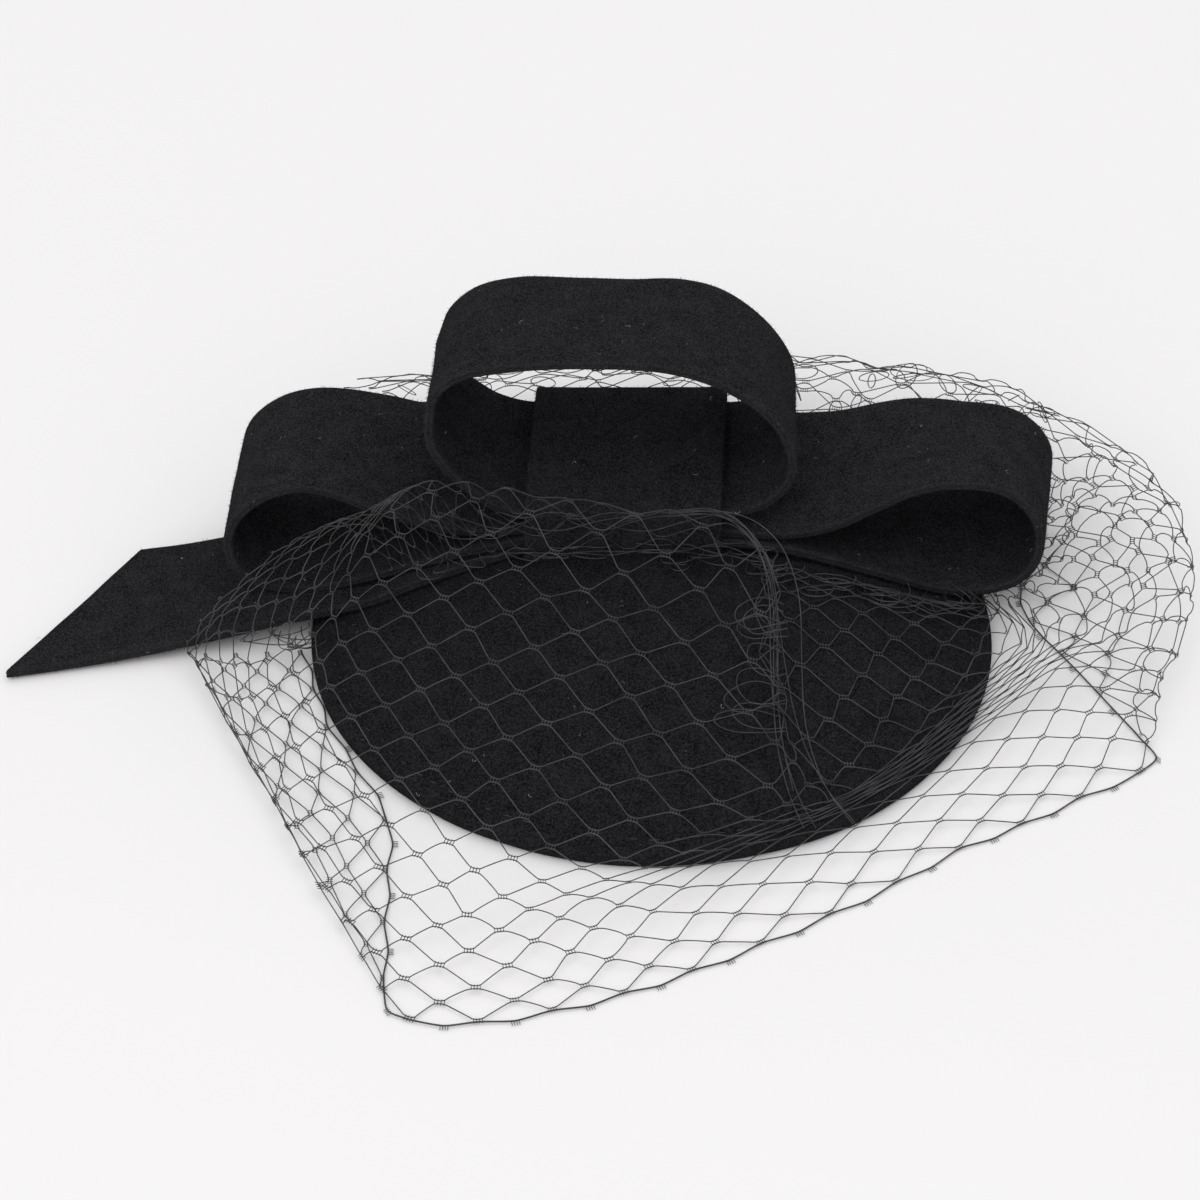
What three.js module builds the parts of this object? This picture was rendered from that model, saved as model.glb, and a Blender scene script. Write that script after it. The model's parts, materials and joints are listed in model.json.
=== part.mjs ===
// Fascinator: a felt saucer that carries a felt ribbon bow and a coarse net veil.
// Millimetres, +Z up.  The origin is the centre of the saucer's rim, on the plane it rests on.
// -Y is the front, where the veil falls, and -X is the side with the bow's loose tail.

import * as THREE from 'three';

// ---------------------------------------------------------------- driving sizes
const SEAM_GAP = 0.35;            // clearance that neighbouring pieces keep

const BASE_RADIUS = 105;          // saucer, at its rim
const BASE_RISE = 26;             // height of the dome's crown above the rim plane
const BASE_WALL = 3;              // felt thickness
const HEM_WIDTH = 9;              // folded hem under the rim
const HEM_THICKNESS = 4.6;        // two layers of felt at the rim
const HEM_EASE = 8;               // how late the dome thickens towards its hem
const HEM_LIP = 1.5;              // height of the hem's inner edge
const HEM_CORNER = 1;             // chamfer on the rim's outer corners
const BASE_SIDES = 54;
const BASE_RINGS = 9;             // steps from the middle to the hem, below
const TOP_RINGS = 11;             // and above, from the middle to the rim

const FELT = 3;                   // ribbon thickness, two layers of felt bonded together
const RIBBON_WIDTH = 52;          // every loop and the tail
const RIBBON_FRONT_Y = 14.4;      // front edge of the bow at RIBBON_FRONT_Z
const RIBBON_FRONT_Z = 40;
const RIBBON_LEAN = 0.14;         // the bow's front leans back as it rises
const RIBBON_COLUMNS = 3;         // points across a ribbon
const RIBBON_STEPS = 3;           // steps between two rows of a ribbon's table

const TAIL_ANGLE = 11.7;          // degrees that the tail turns forward, in plan
const TAIL_ROOT = { x: -24, y: 16 };

const KNOT_WIDTH = 60;            // centre band, along X
const KNOT_CENTRE_X = -9.5;       // at its front foot
const KNOT_SKEW = 0.055;          // the band drifts sideways as it goes back
const KNOT_COLUMNS = 4;
const KNOT_STEPS = 3;

const COMB_WIDTH = 60;            // plastic comb that grips the hair, sewn below the dome
const COMB_SPINE = 7;
const COMB_TOOTH_LENGTH = 32;
const COMB_TOOTH_WIDTH = 2.2;
const COMB_TEETH = 11;
const COMB_THICKNESS = 2.2;
const COMB_SPINE_Y = -54;
const COMB_CHAMFER = 2;           // cut corners of the spine, and length of a tooth's point

const NET_THICKNESS = 1.5;        // coarse stand-in for the veil's threads
const NET_COLUMNS = 14;           // diamonds round the veil
const NET_ROWS = 4;               // diamonds from the gather to the hem
const NET_HOLE = 0.86;            // share of a diamond that is open
const NET_REST = 1.2;             // height of the net's middle where it lies flat
const NET_SAMPLE = 0.002;         // share of the net between the points that give its slope

// ---------------------------------------------------------------- materials
function feltMaterial(colour) {
  return new THREE.MeshStandardMaterial({ color: colour, roughness: 0.96, metalness: 0 });
}

function smoothMaterial(colour, roughness) {
  return new THREE.MeshStandardMaterial({ color: colour, roughness, metalness: 0 });
}

// ---------------------------------------------------------------- shared helpers
function lerp(a, b, t) {
  return a + (b - a) * t;
}

// Catmull-Rom value at place s in a list of numbers (s counts the list's entries).
function spline(values, s) {
  const last = values.length - 1;
  const i = Math.max(0, Math.min(Math.floor(s), last - 1));
  const t = s - i;
  const p0 = values[Math.max(i - 1, 0)];
  const p1 = values[i];
  const p2 = values[i + 1];
  const p3 = values[Math.min(i + 2, last)];
  const linear = (p2 - p0) * t;
  const square = (2 * p0 - 5 * p1 + 4 * p2 - p3) * t * t;
  const cube = (3 * p1 - p0 - 3 * p2 + p3) * t * t * t;
  return 0.5 * (2 * p1 + linear + square + cube);
}

// The same spline through the rows of a table, for one of its columns, closed into a ring if asked.
function columnAt(rows, column, s, ring) {
  const values = rows.map((row) => row[column]);
  if (!ring) {
    return spline(values, s);
  }
  const count = values.length;
  const wrapped = [values[count - 1], ...values, values[0], values[1]];
  return spline(wrapped, s + 1);
}

function geometryFrom(points, triangles) {
  const geometry = new THREE.BufferGeometry();
  const positions = new Float32Array(points.length * 3);
  points.forEach((point, i) => point.toArray(positions, i * 3));
  geometry.setAttribute('position', new THREE.BufferAttribute(positions, 3));
  geometry.setIndex(triangles);
  geometry.computeVertexNormals();
  return geometry;
}

function namedMesh(name, geometry, material) {
  const mesh = new THREE.Mesh(geometry, material);
  mesh.name = name;
  return mesh;
}

// Closed solid of a sheet.  grid[i][j] is a point of its outside face, and the felt lies inside it.
// ring joins the last row to the first.
function sheetSolid(grid, thickness, ring) {
  const rows = grid.length;
  const columns = grid[0].length;
  const along = new THREE.Vector3();
  const across = new THREE.Vector3();
  const outside = [];
  const inside = [];
  for (let i = 0; i < rows; i += 1) {
    const before = ring ? (i + rows - 1) % rows : Math.max(i - 1, 0);
    const after = ring ? (i + 1) % rows : Math.min(i + 1, rows - 1);
    for (let j = 0; j < columns; j += 1) {
      along.subVectors(grid[after][j], grid[before][j]);
      across.subVectors(grid[i][Math.min(j + 1, columns - 1)], grid[i][Math.max(j - 1, 0)]);
      const normal = new THREE.Vector3().crossVectors(along, across).normalize();
      outside.push(grid[i][j]);
      inside.push(grid[i][j].clone().addScaledVector(normal, -thickness));
    }
  }
  const under = rows * columns;
  const triangles = [];
  const quad = (a, b, c, d) => triangles.push(a, b, c, a, c, d);
  const lastRow = ring ? rows : rows - 1;
  for (let i = 0; i < lastRow; i += 1) {
    const next = (i + 1) % rows;
    for (let j = 0; j < columns - 1; j += 1) {
      const a = i * columns + j;
      const b = next * columns + j;
      quad(a, b, b + 1, a + 1);
      quad(under + a, under + a + 1, under + b + 1, under + b);
    }
    const start = i * columns;
    const startNext = next * columns;
    const end = start + columns - 1;
    const endNext = startNext + columns - 1;
    quad(start, under + start, under + startNext, startNext);
    quad(end, endNext, under + endNext, under + end);
  }
  if (!ring) {
    const lastStart = (rows - 1) * columns;
    for (let j = 0; j < columns - 1; j += 1) {
      quad(j, j + 1, under + j + 1, under + j);
      quad(lastStart + j, under + lastStart + j, under + lastStart + j + 1, lastStart + j + 1);
    }
  }
  return geometryFrom([...outside, ...inside], triangles);
}

// ---------------------------------------------------------------- base
// Height of the saucer's outside above the rim plane at a point in plan.
function saucerTop(x, y) {
  const share = Math.min(Math.hypot(x, y) / BASE_RADIUS, 1);
  return BASE_RISE * (1 - share ** 2) + HEM_THICKNESS * share ** HEM_EASE;
}

function saucerInside(radius) {
  return BASE_RISE * (1 - (radius / BASE_RADIUS) ** 2) - BASE_WALL;
}

function buildBase() {
  const hemRadius = BASE_RADIUS - HEM_WIDTH;
  const profile = [];
  for (let i = 0; i <= BASE_RINGS; i += 1) {
    const radius = (hemRadius * i) / BASE_RINGS;
    profile.push(new THREE.Vector2(radius, Math.max(saucerInside(radius), HEM_LIP)));
  }
  profile.push(new THREE.Vector2(hemRadius, 0));
  profile.push(new THREE.Vector2(BASE_RADIUS - HEM_CORNER, 0));
  profile.push(new THREE.Vector2(BASE_RADIUS, HEM_CORNER));
  profile.push(new THREE.Vector2(BASE_RADIUS, HEM_THICKNESS - HEM_CORNER));
  for (let i = TOP_RINGS; i >= 0; i -= 1) {
    const radius = ((BASE_RADIUS - HEM_CORNER) * i) / TOP_RINGS;
    profile.push(new THREE.Vector2(radius, saucerTop(radius, 0)));
  }
  const geometry = new THREE.LatheGeometry(profile, BASE_SIDES);
  geometry.rotateX(Math.PI / 2);
  return geometry;
}

// ---------------------------------------------------------------- hair comb
// A flat comb whose spine's ends meet the dome from below, with its teeth towards the middle.
function buildComb() {
  const half = COMB_WIDTH / 2;
  const pitch = (COMB_WIDTH - COMB_TOOTH_WIDTH) / (COMB_TEETH - 1);
  const tip = COMB_TOOTH_LENGTH + COMB_SPINE;
  const outline = new THREE.Shape();
  outline.moveTo(half, COMB_SPINE);
  outline.lineTo(half, COMB_CHAMFER);
  outline.lineTo(half - COMB_CHAMFER, 0);
  outline.lineTo(COMB_CHAMFER - half, 0);
  outline.lineTo(-half, COMB_CHAMFER);
  outline.lineTo(-half, COMB_SPINE);
  for (let i = 0; i < COMB_TEETH; i += 1) {
    const left = -half + i * pitch;
    if (i > 0) {
      outline.lineTo(left, COMB_SPINE);
    }
    outline.lineTo(left, tip - COMB_CHAMFER);
    outline.lineTo(left + COMB_TOOTH_WIDTH / 2, tip);
    outline.lineTo(left + COMB_TOOTH_WIDTH, tip - COMB_CHAMFER);
    if (i < COMB_TEETH - 1) {
      outline.lineTo(left + COMB_TOOTH_WIDTH, COMB_SPINE);
    }
  }
  const geometry = new THREE.ExtrudeGeometry(outline, { depth: COMB_THICKNESS, bevelEnabled: false });
  const cornerRadius = Math.hypot(half, COMB_SPINE_Y);
  const top = saucerInside(cornerRadius) - SEAM_GAP;
  geometry.translate(0, COMB_SPINE_Y, top - COMB_THICKNESS);
  return geometry;
}

// ---------------------------------------------------------------- bow loops
// x, z: outside face of the loop's front edge.  leanX, leanZ: how far its back edge lies from that.
const RIGHT_LOOP = [
  { x: -4, z: 33.0, leanX: 0, leanZ: 3 },
  { x: 20, z: 32.1, leanX: 3, leanZ: 5 },
  { x: 40, z: 30.9, leanX: 5, leanZ: 9.2 },
  { x: 54, z: 33.4, leanX: 6, leanZ: 7.5 },
  { x: 67, z: 40, leanX: 6, leanZ: 3 },
  { x: 80, z: 46.8, leanX: 6, leanZ: -3 },
  { x: 93, z: 49.4, leanX: 6, leanZ: -7 },
  { x: 106, z: 47.6, leanX: 6, leanZ: -7 },
  { x: 115, z: 41.5, leanX: 6.5, leanZ: -6 },
  { x: 120, z: 33, leanX: 7, leanZ: -5 },
  { x: 121, z: 24.5, leanX: 7, leanZ: -5 },
  { x: 118, z: 16.5, leanX: 7, leanZ: -3 },
  { x: 110.5, z: 10.8, leanX: 6, leanZ: -1 },
  { x: 98, z: 8.6, leanX: 5, leanZ: 0 },
  { x: 86, z: 10.1, leanX: 4, leanZ: -2 },
  { x: 73, z: 14.2, leanX: 3, leanZ: -4.5 },
  { x: 58, z: 18.9, leanX: 2, leanZ: -6.5 },
  { x: 42, z: 23.2, leanX: 1, leanZ: -7 },
  { x: 22, z: 25.9, leanX: 0, leanZ: -7.5 },
  { x: -4, z: 26.8, leanX: 0, leanZ: -8 },
];

const LEFT_LOOP = [
  { x: -12, z: 28.4, leanX: 0, leanZ: -6.5 },
  { x: -24, z: 28.3, leanX: 0, leanZ: -6.5 },
  { x: -36, z: 27.0, leanX: 0, leanZ: -6 },
  { x: -52, z: 23.7, leanX: 0, leanZ: -5 },
  { x: -68, z: 19.5, leanX: 1, leanZ: -3.5 },
  { x: -84, z: 14.8, leanX: 2, leanZ: -2 },
  { x: -98, z: 11, leanX: 3, leanZ: -1 },
  { x: -110, z: 9.4, leanX: 3, leanZ: 0 },
  { x: -122, z: 11.6, leanX: 3, leanZ: 0 },
  { x: -129.5, z: 17.5, leanX: 3, leanZ: 0 },
  { x: -132, z: 25, leanX: 3, leanZ: 0 },
  { x: -130.7, z: 33, leanX: 3, leanZ: 0 },
  { x: -126, z: 39.6, leanX: 3, leanZ: 0 },
  { x: -118, z: 44.9, leanX: 3, leanZ: 0 },
  { x: -108, z: 47.4, leanX: 3, leanZ: 0 },
  { x: -98, z: 45.8, leanX: 3, leanZ: 1.5 },
  { x: -86, z: 40.6, leanX: 3, leanZ: 5 },
  { x: -72, z: 35, leanX: 2, leanZ: 8 },
  { x: -57, z: 32, leanX: 1, leanZ: 9 },
  { x: -40, z: 32.6, leanX: 1, leanZ: 8 },
  { x: -25, z: 34.6, leanX: 0, leanZ: 5 },
  { x: -12, z: 34.8, leanX: 0, leanZ: 4 },
];

const TOP_LOOP = [
  { x: -8, z: 35.2, leanX: 0, leanZ: 5 },
  { x: -24, z: 35.2, leanX: 0, leanZ: 5 },
  { x: -38, z: 35.6, leanX: 0, leanZ: 5.3 },
  { x: -48, z: 38.6, leanX: 0, leanZ: 5 },
  { x: -56, z: 44.4, leanX: 0, leanZ: 4 },
  { x: -63.5, z: 51.8, leanX: 0, leanZ: 2 },
  { x: -68.5, z: 60.5, leanX: 1.5, leanZ: 0 },
  { x: -69, z: 70, leanX: 3.5, leanZ: -2 },
  { x: -66.8, z: 79.4, leanX: 5, leanZ: -3 },
  { x: -58.2, z: 86, leanX: 5, leanZ: -3 },
  { x: -44, z: 88.5, leanX: 4, leanZ: -3.3 },
  { x: -26, z: 90, leanX: 3, leanZ: -4 },
  { x: -8, z: 89.8, leanX: 2, leanZ: -5 },
  { x: 8, z: 87.5, leanX: 1.5, leanZ: -4.8 },
  { x: 22, z: 82.5, leanX: 1, leanZ: -3.6 },
  { x: 33.5, z: 75, leanX: 1, leanZ: -4 },
  { x: 41, z: 65.5, leanX: 1.5, leanZ: -4 },
  { x: 44, z: 56, leanX: 1.5, leanZ: -3 },
  { x: 42.5, z: 47, leanX: 2, leanZ: -1 },
  { x: 35, z: 39.6, leanX: 1, leanZ: 2 },
  { x: 24, z: 36.2, leanX: 0, leanZ: 4 },
  { x: 8, z: 35.2, leanX: 0, leanZ: 5 },
];

function buildLoop(rows, ring) {
  const spans = ring ? rows.length : rows.length - 1;
  const steps = spans * RIBBON_STEPS;
  const count = ring ? steps : steps + 1;
  const grid = [];
  for (let i = 0; i < count; i += 1) {
    const s = i / RIBBON_STEPS;
    const x = columnAt(rows, 'x', s, ring);
    const z = columnAt(rows, 'z', s, ring);
    const leanX = columnAt(rows, 'leanX', s, ring);
    const leanZ = columnAt(rows, 'leanZ', s, ring);
    const depth = Math.sqrt(RIBBON_WIDTH ** 2 - leanX ** 2 - leanZ ** 2);
    const frontY = RIBBON_FRONT_Y + RIBBON_LEAN * (z - RIBBON_FRONT_Z);
    const line = [];
    for (let j = 0; j < RIBBON_COLUMNS; j += 1) {
      const t = j / (RIBBON_COLUMNS - 1);
      line.push(new THREE.Vector3(x + leanX * t, frontY + depth * t, z + leanZ * t));
    }
    grid.push(line);
  }
  return sheetSolid(grid, FELT, ring);
}

// ---------------------------------------------------------------- tail
// run: distance from the root along the front edge.  z: underside there.  leanZ: rise to the back edge.
// backRun: distance along the back edge, which stops short where the end is cut aslant.
const TAIL = [
  { run: 0, backRun: 0, z: 24.8, leanZ: -7.6 },
  { run: 16, backRun: 16, z: 22.8, leanZ: -6.8 },
  { run: 32, backRun: 32, z: 19.4, leanZ: -7 },
  { run: 47, backRun: 47, z: 15.6, leanZ: -6.6 },
  { run: 62, backRun: 62, z: 10.5, leanZ: -6 },
  { run: 76, backRun: 76, z: 7, leanZ: -3.2 },
  { run: 90, backRun: 87, z: 4.8, leanZ: -2.5 },
  { run: 108, backRun: 98, z: 2.2, leanZ: -1.2 },
  { run: 130, backRun: 110, z: 0.8, leanZ: -0.2 },
  { run: 153, backRun: 119.5, z: 0.35, leanZ: 0 },
  { run: 177, backRun: 129, z: 0.35, leanZ: 0 },
];

function buildTail() {
  const angle = THREE.MathUtils.degToRad(TAIL_ANGLE);
  const forward = new THREE.Vector3(-Math.cos(angle), -Math.sin(angle), 0);
  const sideways = new THREE.Vector3(-Math.sin(angle), Math.cos(angle), 0);
  const steps = (TAIL.length - 1) * RIBBON_STEPS;
  const grid = [];
  for (let i = 0; i <= steps; i += 1) {
    const s = i / RIBBON_STEPS;
    const run = columnAt(TAIL, 'run', s);
    const backRun = columnAt(TAIL, 'backRun', s);
    const underside = columnAt(TAIL, 'z', s);
    const leanZ = columnAt(TAIL, 'leanZ', s);
    const depth = Math.sqrt(RIBBON_WIDTH ** 2 - leanZ ** 2);
    const line = [];
    for (let j = 0; j < RIBBON_COLUMNS; j += 1) {
      const t = j / (RIBBON_COLUMNS - 1);
      const point = new THREE.Vector3(TAIL_ROOT.x, TAIL_ROOT.y, underside + leanZ * t);
      point.addScaledVector(forward, lerp(run, backRun, t));
      point.addScaledVector(sideways, depth * t);
      line.push(point);
    }
    grid.push(line);
  }
  return sheetSolid(grid, FELT, false);
}

// ---------------------------------------------------------------- centre knot
// Outside of the band over the bow, from its front foot up, back and down to its rear foot.
// clear: how far the point stands above the saucer, for the two feet, which follow the dome.
const KNOT = [
  { y: 9, z: 0, clear: 0.6 },
  { y: 9.8, z: 32, clear: 0 },
  { y: 10.5, z: 39.2, clear: 0 },
  { y: 13.8, z: 42.3, clear: 0 },
  { y: 28, z: 44.3, clear: 0 },
  { y: 48, z: 46.3, clear: 0 },
  { y: 65, z: 47.4, clear: 0 },
  { y: 69.6, z: 44.5, clear: 0 },
  { y: 70.5, z: 36, clear: 0 },
  { y: 71, z: 26, clear: 0 },
  { y: 71.5, z: 0, clear: 1.5 },
];

function buildKnot() {
  const steps = (KNOT.length - 1) * KNOT_STEPS;
  const grid = [];
  for (let i = 0; i <= steps; i += 1) {
    const s = i / KNOT_STEPS;
    const line = [];
    for (let j = 0; j < KNOT_COLUMNS; j += 1) {
      const share = 0.5 - j / (KNOT_COLUMNS - 1);
      const footX = KNOT_CENTRE_X + KNOT_WIDTH * share;
      const rows = KNOT.map((row) => ({
        x: footX + KNOT_SKEW * row.y,
        y: row.y,
        z: row.clear > 0 ? saucerTop(footX + KNOT_SKEW * row.y, row.y) + row.clear : row.z,
      }));
      line.push(new THREE.Vector3(columnAt(rows, 'x', s), columnAt(rows, 'y', s), columnAt(rows, 'z', s)));
    }
    grid.push(line);
  }
  return sheetSolid(grid, FELT, false);
}

// ---------------------------------------------------------------- veil
// One section for each row, from the left end of the net round the front and the right to the back.
// foot: where the net is gathered.  crest: top of the fold above it.  drape and ridge: heights 0.4
// and 0.75 of the way from the crest to the fold.  fold: outermost turn.  hem: the free edge.
const VEIL = [
  { foot: [-48, 6, 22.6], crest: [-66, 8, 47], drape: 34, ridge: 17, fold: [-144, -16, 5], hem: [-109, -22] },
  { foot: [-37, 5, 24.3], crest: [-46, 7, 50], drape: 34, ridge: 15, fold: [-121, -72, 4], hem: [-88, -74] },
  { foot: [-24, 4, 26], crest: [-26, 5, 49], drape: 31, ridge: 12, fold: [-84, -146, 2.5], hem: [-77, -164] },
  { foot: [-8, 4, 27], crest: [-8, 4, 48.5], drape: 30, ridge: 11, fold: [-41, -148, 2.2], hem: [-44, -169] },
  { foot: [8, 4, 27], crest: [10, 3, 47], drape: 29, ridge: 11, fold: [-2, -138, 2.2], hem: [-4, -159] },
  { foot: [26, 4, 25.6], crest: [32, 1, 42], drape: 26, ridge: 13, fold: [38, -114, 3], hem: [34, -137] },
  { foot: [44, 4, 22.6], crest: [50, -2, 27], drape: 17, ridge: 14, fold: [72, -90, 3.5], hem: [72, -112] },
  { foot: [66, 4, 17.2], crest: [74, -4, 19], drape: 12.5, ridge: 13, fold: [107, -60, 4], hem: [112, -82] },
  { foot: [88, 5, 10.4], crest: [97, -3, 12], drape: 12, ridge: 13, fold: [140, -38, 6], hem: [153, -57] },
  { foot: [112, 6, 8], crest: [126, 4, 20], drape: 28, ridge: 25, fold: [169, -6, 11], hem: [130, -8] },
  { foot: [131, 38, 12], crest: [137, 40, 27], drape: 33, ridge: 27, fold: [172, 42, 11], hem: [122, 36] },
  { foot: [126, 74, 12], crest: [130, 82, 27], drape: 32, ridge: 25, fold: [148, 94, 11], hem: [108, 78] },
  { foot: [78, 77, 12], crest: [82, 92, 27], drape: 30, ridge: 23, fold: [90, 127, 10], hem: [72, 101] },
  { foot: [28, 78, 13], crest: [28, 93, 26], drape: 29, ridge: 21, fold: [30, 134, 10], hem: [26, 109] },
  { foot: [-30, 78, 13], crest: [-30, 93, 26], drape: 28, ridge: 20, fold: [-32, 130, 9], hem: [-28, 109] },
  { foot: [-78, 76, 8], crest: [-84, 90, 22], drape: 24, ridge: 17, fold: [-96, 122, 8], hem: [-76, 101] },
];
const DRAPE_SHARE = 0.4;
const RIDGE_SHARE = 0.75;
const PROFILE_STEPS = 30;

// The six points of a row's profile, from the gather to the hem.
function profilePoints(row) {
  const foot = new THREE.Vector3(...row.foot);
  const crest = new THREE.Vector3(...row.crest);
  const fold = new THREE.Vector3(...row.fold);
  const hem = new THREE.Vector3(row.hem[0], row.hem[1], NET_REST);
  const drape = crest.clone().lerp(fold, DRAPE_SHARE).setZ(row.drape);
  const ridge = crest.clone().lerp(fold, RIDGE_SHARE).setZ(row.ridge);
  return [foot, crest, drape, ridge, fold, hem];
}

const VEIL_PROFILES = VEIL.map(profilePoints);

// Point of the net's middle surface: u counts sections, v counts the points of a profile.
function netSurface(u, v) {
  const point = new THREE.Vector3();
  for (const axis of ['x', 'y', 'z']) {
    const across = VEIL_PROFILES.map((profile) => spline(profile.map((p) => p[axis]), v));
    point[axis] = spline(across, u);
  }
  point.z = Math.max(point.z, NET_REST);
  return point;
}

// A table of even distances along a curve, so that the net's cells come out alike.
function evenPlaces(curve, end) {
  const lengths = [0];
  for (let i = 1; i <= PROFILE_STEPS; i += 1) {
    const here = curve((end * i) / PROFILE_STEPS);
    const before = curve((end * (i - 1)) / PROFILE_STEPS);
    lengths.push(lengths[i - 1] + here.distanceTo(before));
  }
  return (share) => {
    const wanted = share * lengths[PROFILE_STEPS];
    let i = 1;
    while (i < PROFILE_STEPS && lengths[i] < wanted) {
      i += 1;
    }
    const t = (wanted - lengths[i - 1]) / (lengths[i] - lengths[i - 1]);
    return (end * (i - 1 + t)) / PROFILE_STEPS;
  };
}

const PROFILE_END = 5;
const NET_MIDDLE = 3;
const placeRound = evenPlaces((u) => netSurface(u, NET_MIDDLE), VEIL.length - 1);

// Point of the net at even shares round (0 to 1) and down (0 at the gather, 1 at the hem).
function netPoint(round, down) {
  const u = placeRound(round);
  const placeDown = evenPlaces((v) => netSurface(u, v), PROFILE_END);
  return netSurface(u, placeDown(down));
}

// The net as a solid: a lattice of diamonds, each with a diamond hole, and half diamonds at the edges.
function buildVeil() {
  const points = [];
  const triangles = [];
  const made = new Map();
  const half = NET_THICKNESS / 2;
  const step = NET_SAMPLE;

  // Indices of the top and bottom points at a place of the lattice (in half cells).
  function pair(column, row) {
    const key = `${column.toFixed(4)},${row.toFixed(4)}`;
    if (made.has(key)) {
      return made.get(key);
    }
    const round = column / (2 * NET_COLUMNS);
    const down = row / (2 * NET_ROWS);
    const middle = netPoint(round, down);
    const along = netPoint(Math.min(round + step, 1), down).sub(netPoint(Math.max(round - step, 0), down));
    const across = netPoint(round, Math.min(down + step, 1)).sub(netPoint(round, Math.max(down - step, 0)));
    const normal = new THREE.Vector3().crossVectors(across, along).normalize();
    points.push(middle.clone().addScaledVector(normal, half));
    points.push(middle.clone().addScaledVector(normal, -half));
    const entry = [points.length - 2, points.length - 1];
    made.set(key, entry);
    return entry;
  }

  function bandQuad(a, b, c, d) {
    triangles.push(a[0], b[0], c[0], a[0], c[0], d[0]);
    triangles.push(a[1], c[1], b[1], a[1], d[1], c[1]);
  }

  function wall(a, b) {
    triangles.push(a[0], b[0], b[1], a[0], b[1], a[1]);
  }

  // corners: the cell's outline, counter-clockwise seen from the net's outside.  rim marks the
  // outline's edges that lie on the net's own border.
  function cell(corners, rim) {
    const centre = corners.reduce((sum, c) => [sum[0] + c[0] / corners.length,
      sum[1] + c[1] / corners.length], [0, 0]);
    const outline = [];
    corners.forEach((corner, k) => {
      const next = corners[(k + 1) % corners.length];
      outline.push({ place: corner, border: rim[k] });
      outline.push({ place: [(corner[0] + next[0]) / 2, (corner[1] + next[1]) / 2], border: rim[k] });
    });
    const outer = outline.map(({ place }) => pair(place[0], place[1]));
    const inner = outline.map(({ place }) => {
      const column = lerp(centre[0], place[0], NET_HOLE);
      const row = lerp(centre[1], place[1], NET_HOLE);
      return pair(column, row);
    });
    outline.forEach(({ border }, k) => {
      const next = (k + 1) % outline.length;
      bandQuad(outer[k], outer[next], inner[next], inner[k]);
      wall(inner[k], inner[next]);
      if (border) {
        wall(outer[next], outer[k]);
      }
    });
  }

  const lastColumn = 2 * NET_COLUMNS;
  const lastRow = 2 * NET_ROWS;
  for (let row = 0; row <= lastRow; row += 1) {
    for (let column = row % 2 === 0 ? 1 : 0; column <= lastColumn; column += 2) {
      const up = [column, row - 1];
      const down = [column, row + 1];
      const left = [column - 1, row];
      const right = [column + 1, row];
      if (row === 0) {
        cell([left, down, right], [false, false, true]);
      } else if (row === lastRow) {
        cell([left, right, up], [true, false, false]);
      } else if (column === 0) {
        cell([up, down, right], [true, false, false]);
      } else if (column === lastColumn) {
        cell([up, left, down], [false, false, true]);
      } else {
        cell([up, left, down, right], [false, false, false, false]);
      }
    }
  }
  return geometryFrom(points, triangles);
}

// ---------------------------------------------------------------- assembly
const fascinator = new THREE.Group();
fascinator.add(namedMesh('base', buildBase(), feltMaterial(0x15161a)));
fascinator.add(namedMesh('hair_comb', buildComb(), smoothMaterial(0x1b1b1d, 0.35)));
fascinator.add(namedMesh('tail', buildTail(), feltMaterial(0x16161a)));
fascinator.add(namedMesh('left_loop', buildLoop(LEFT_LOOP, false), feltMaterial(0x17171b)));
fascinator.add(namedMesh('right_loop', buildLoop(RIGHT_LOOP, false), feltMaterial(0x17171c)));
fascinator.add(namedMesh('top_loop', buildLoop(TOP_LOOP, true), feltMaterial(0x18191d)));
fascinator.add(namedMesh('centre_knot', buildKnot(), feltMaterial(0x141417)));
fascinator.add(namedMesh('veil', buildVeil(), smoothMaterial(0x0d0d0f, 0.7)));

export default fascinator;
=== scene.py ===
"""Looks of a felt fascinator: saucer, ribbon bow, hair comb and coarse net veil.

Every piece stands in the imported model's frame, in metres: +Z up, -Y to the front, -X to the loose
tail.  The tables and sizes are in millimetres, as a milliner writes them, and MM turns them into
metres.
"""

import json
import math
from collections import namedtuple

import bmesh
import bpy
import numpy as np
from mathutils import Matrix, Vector, noise

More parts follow.
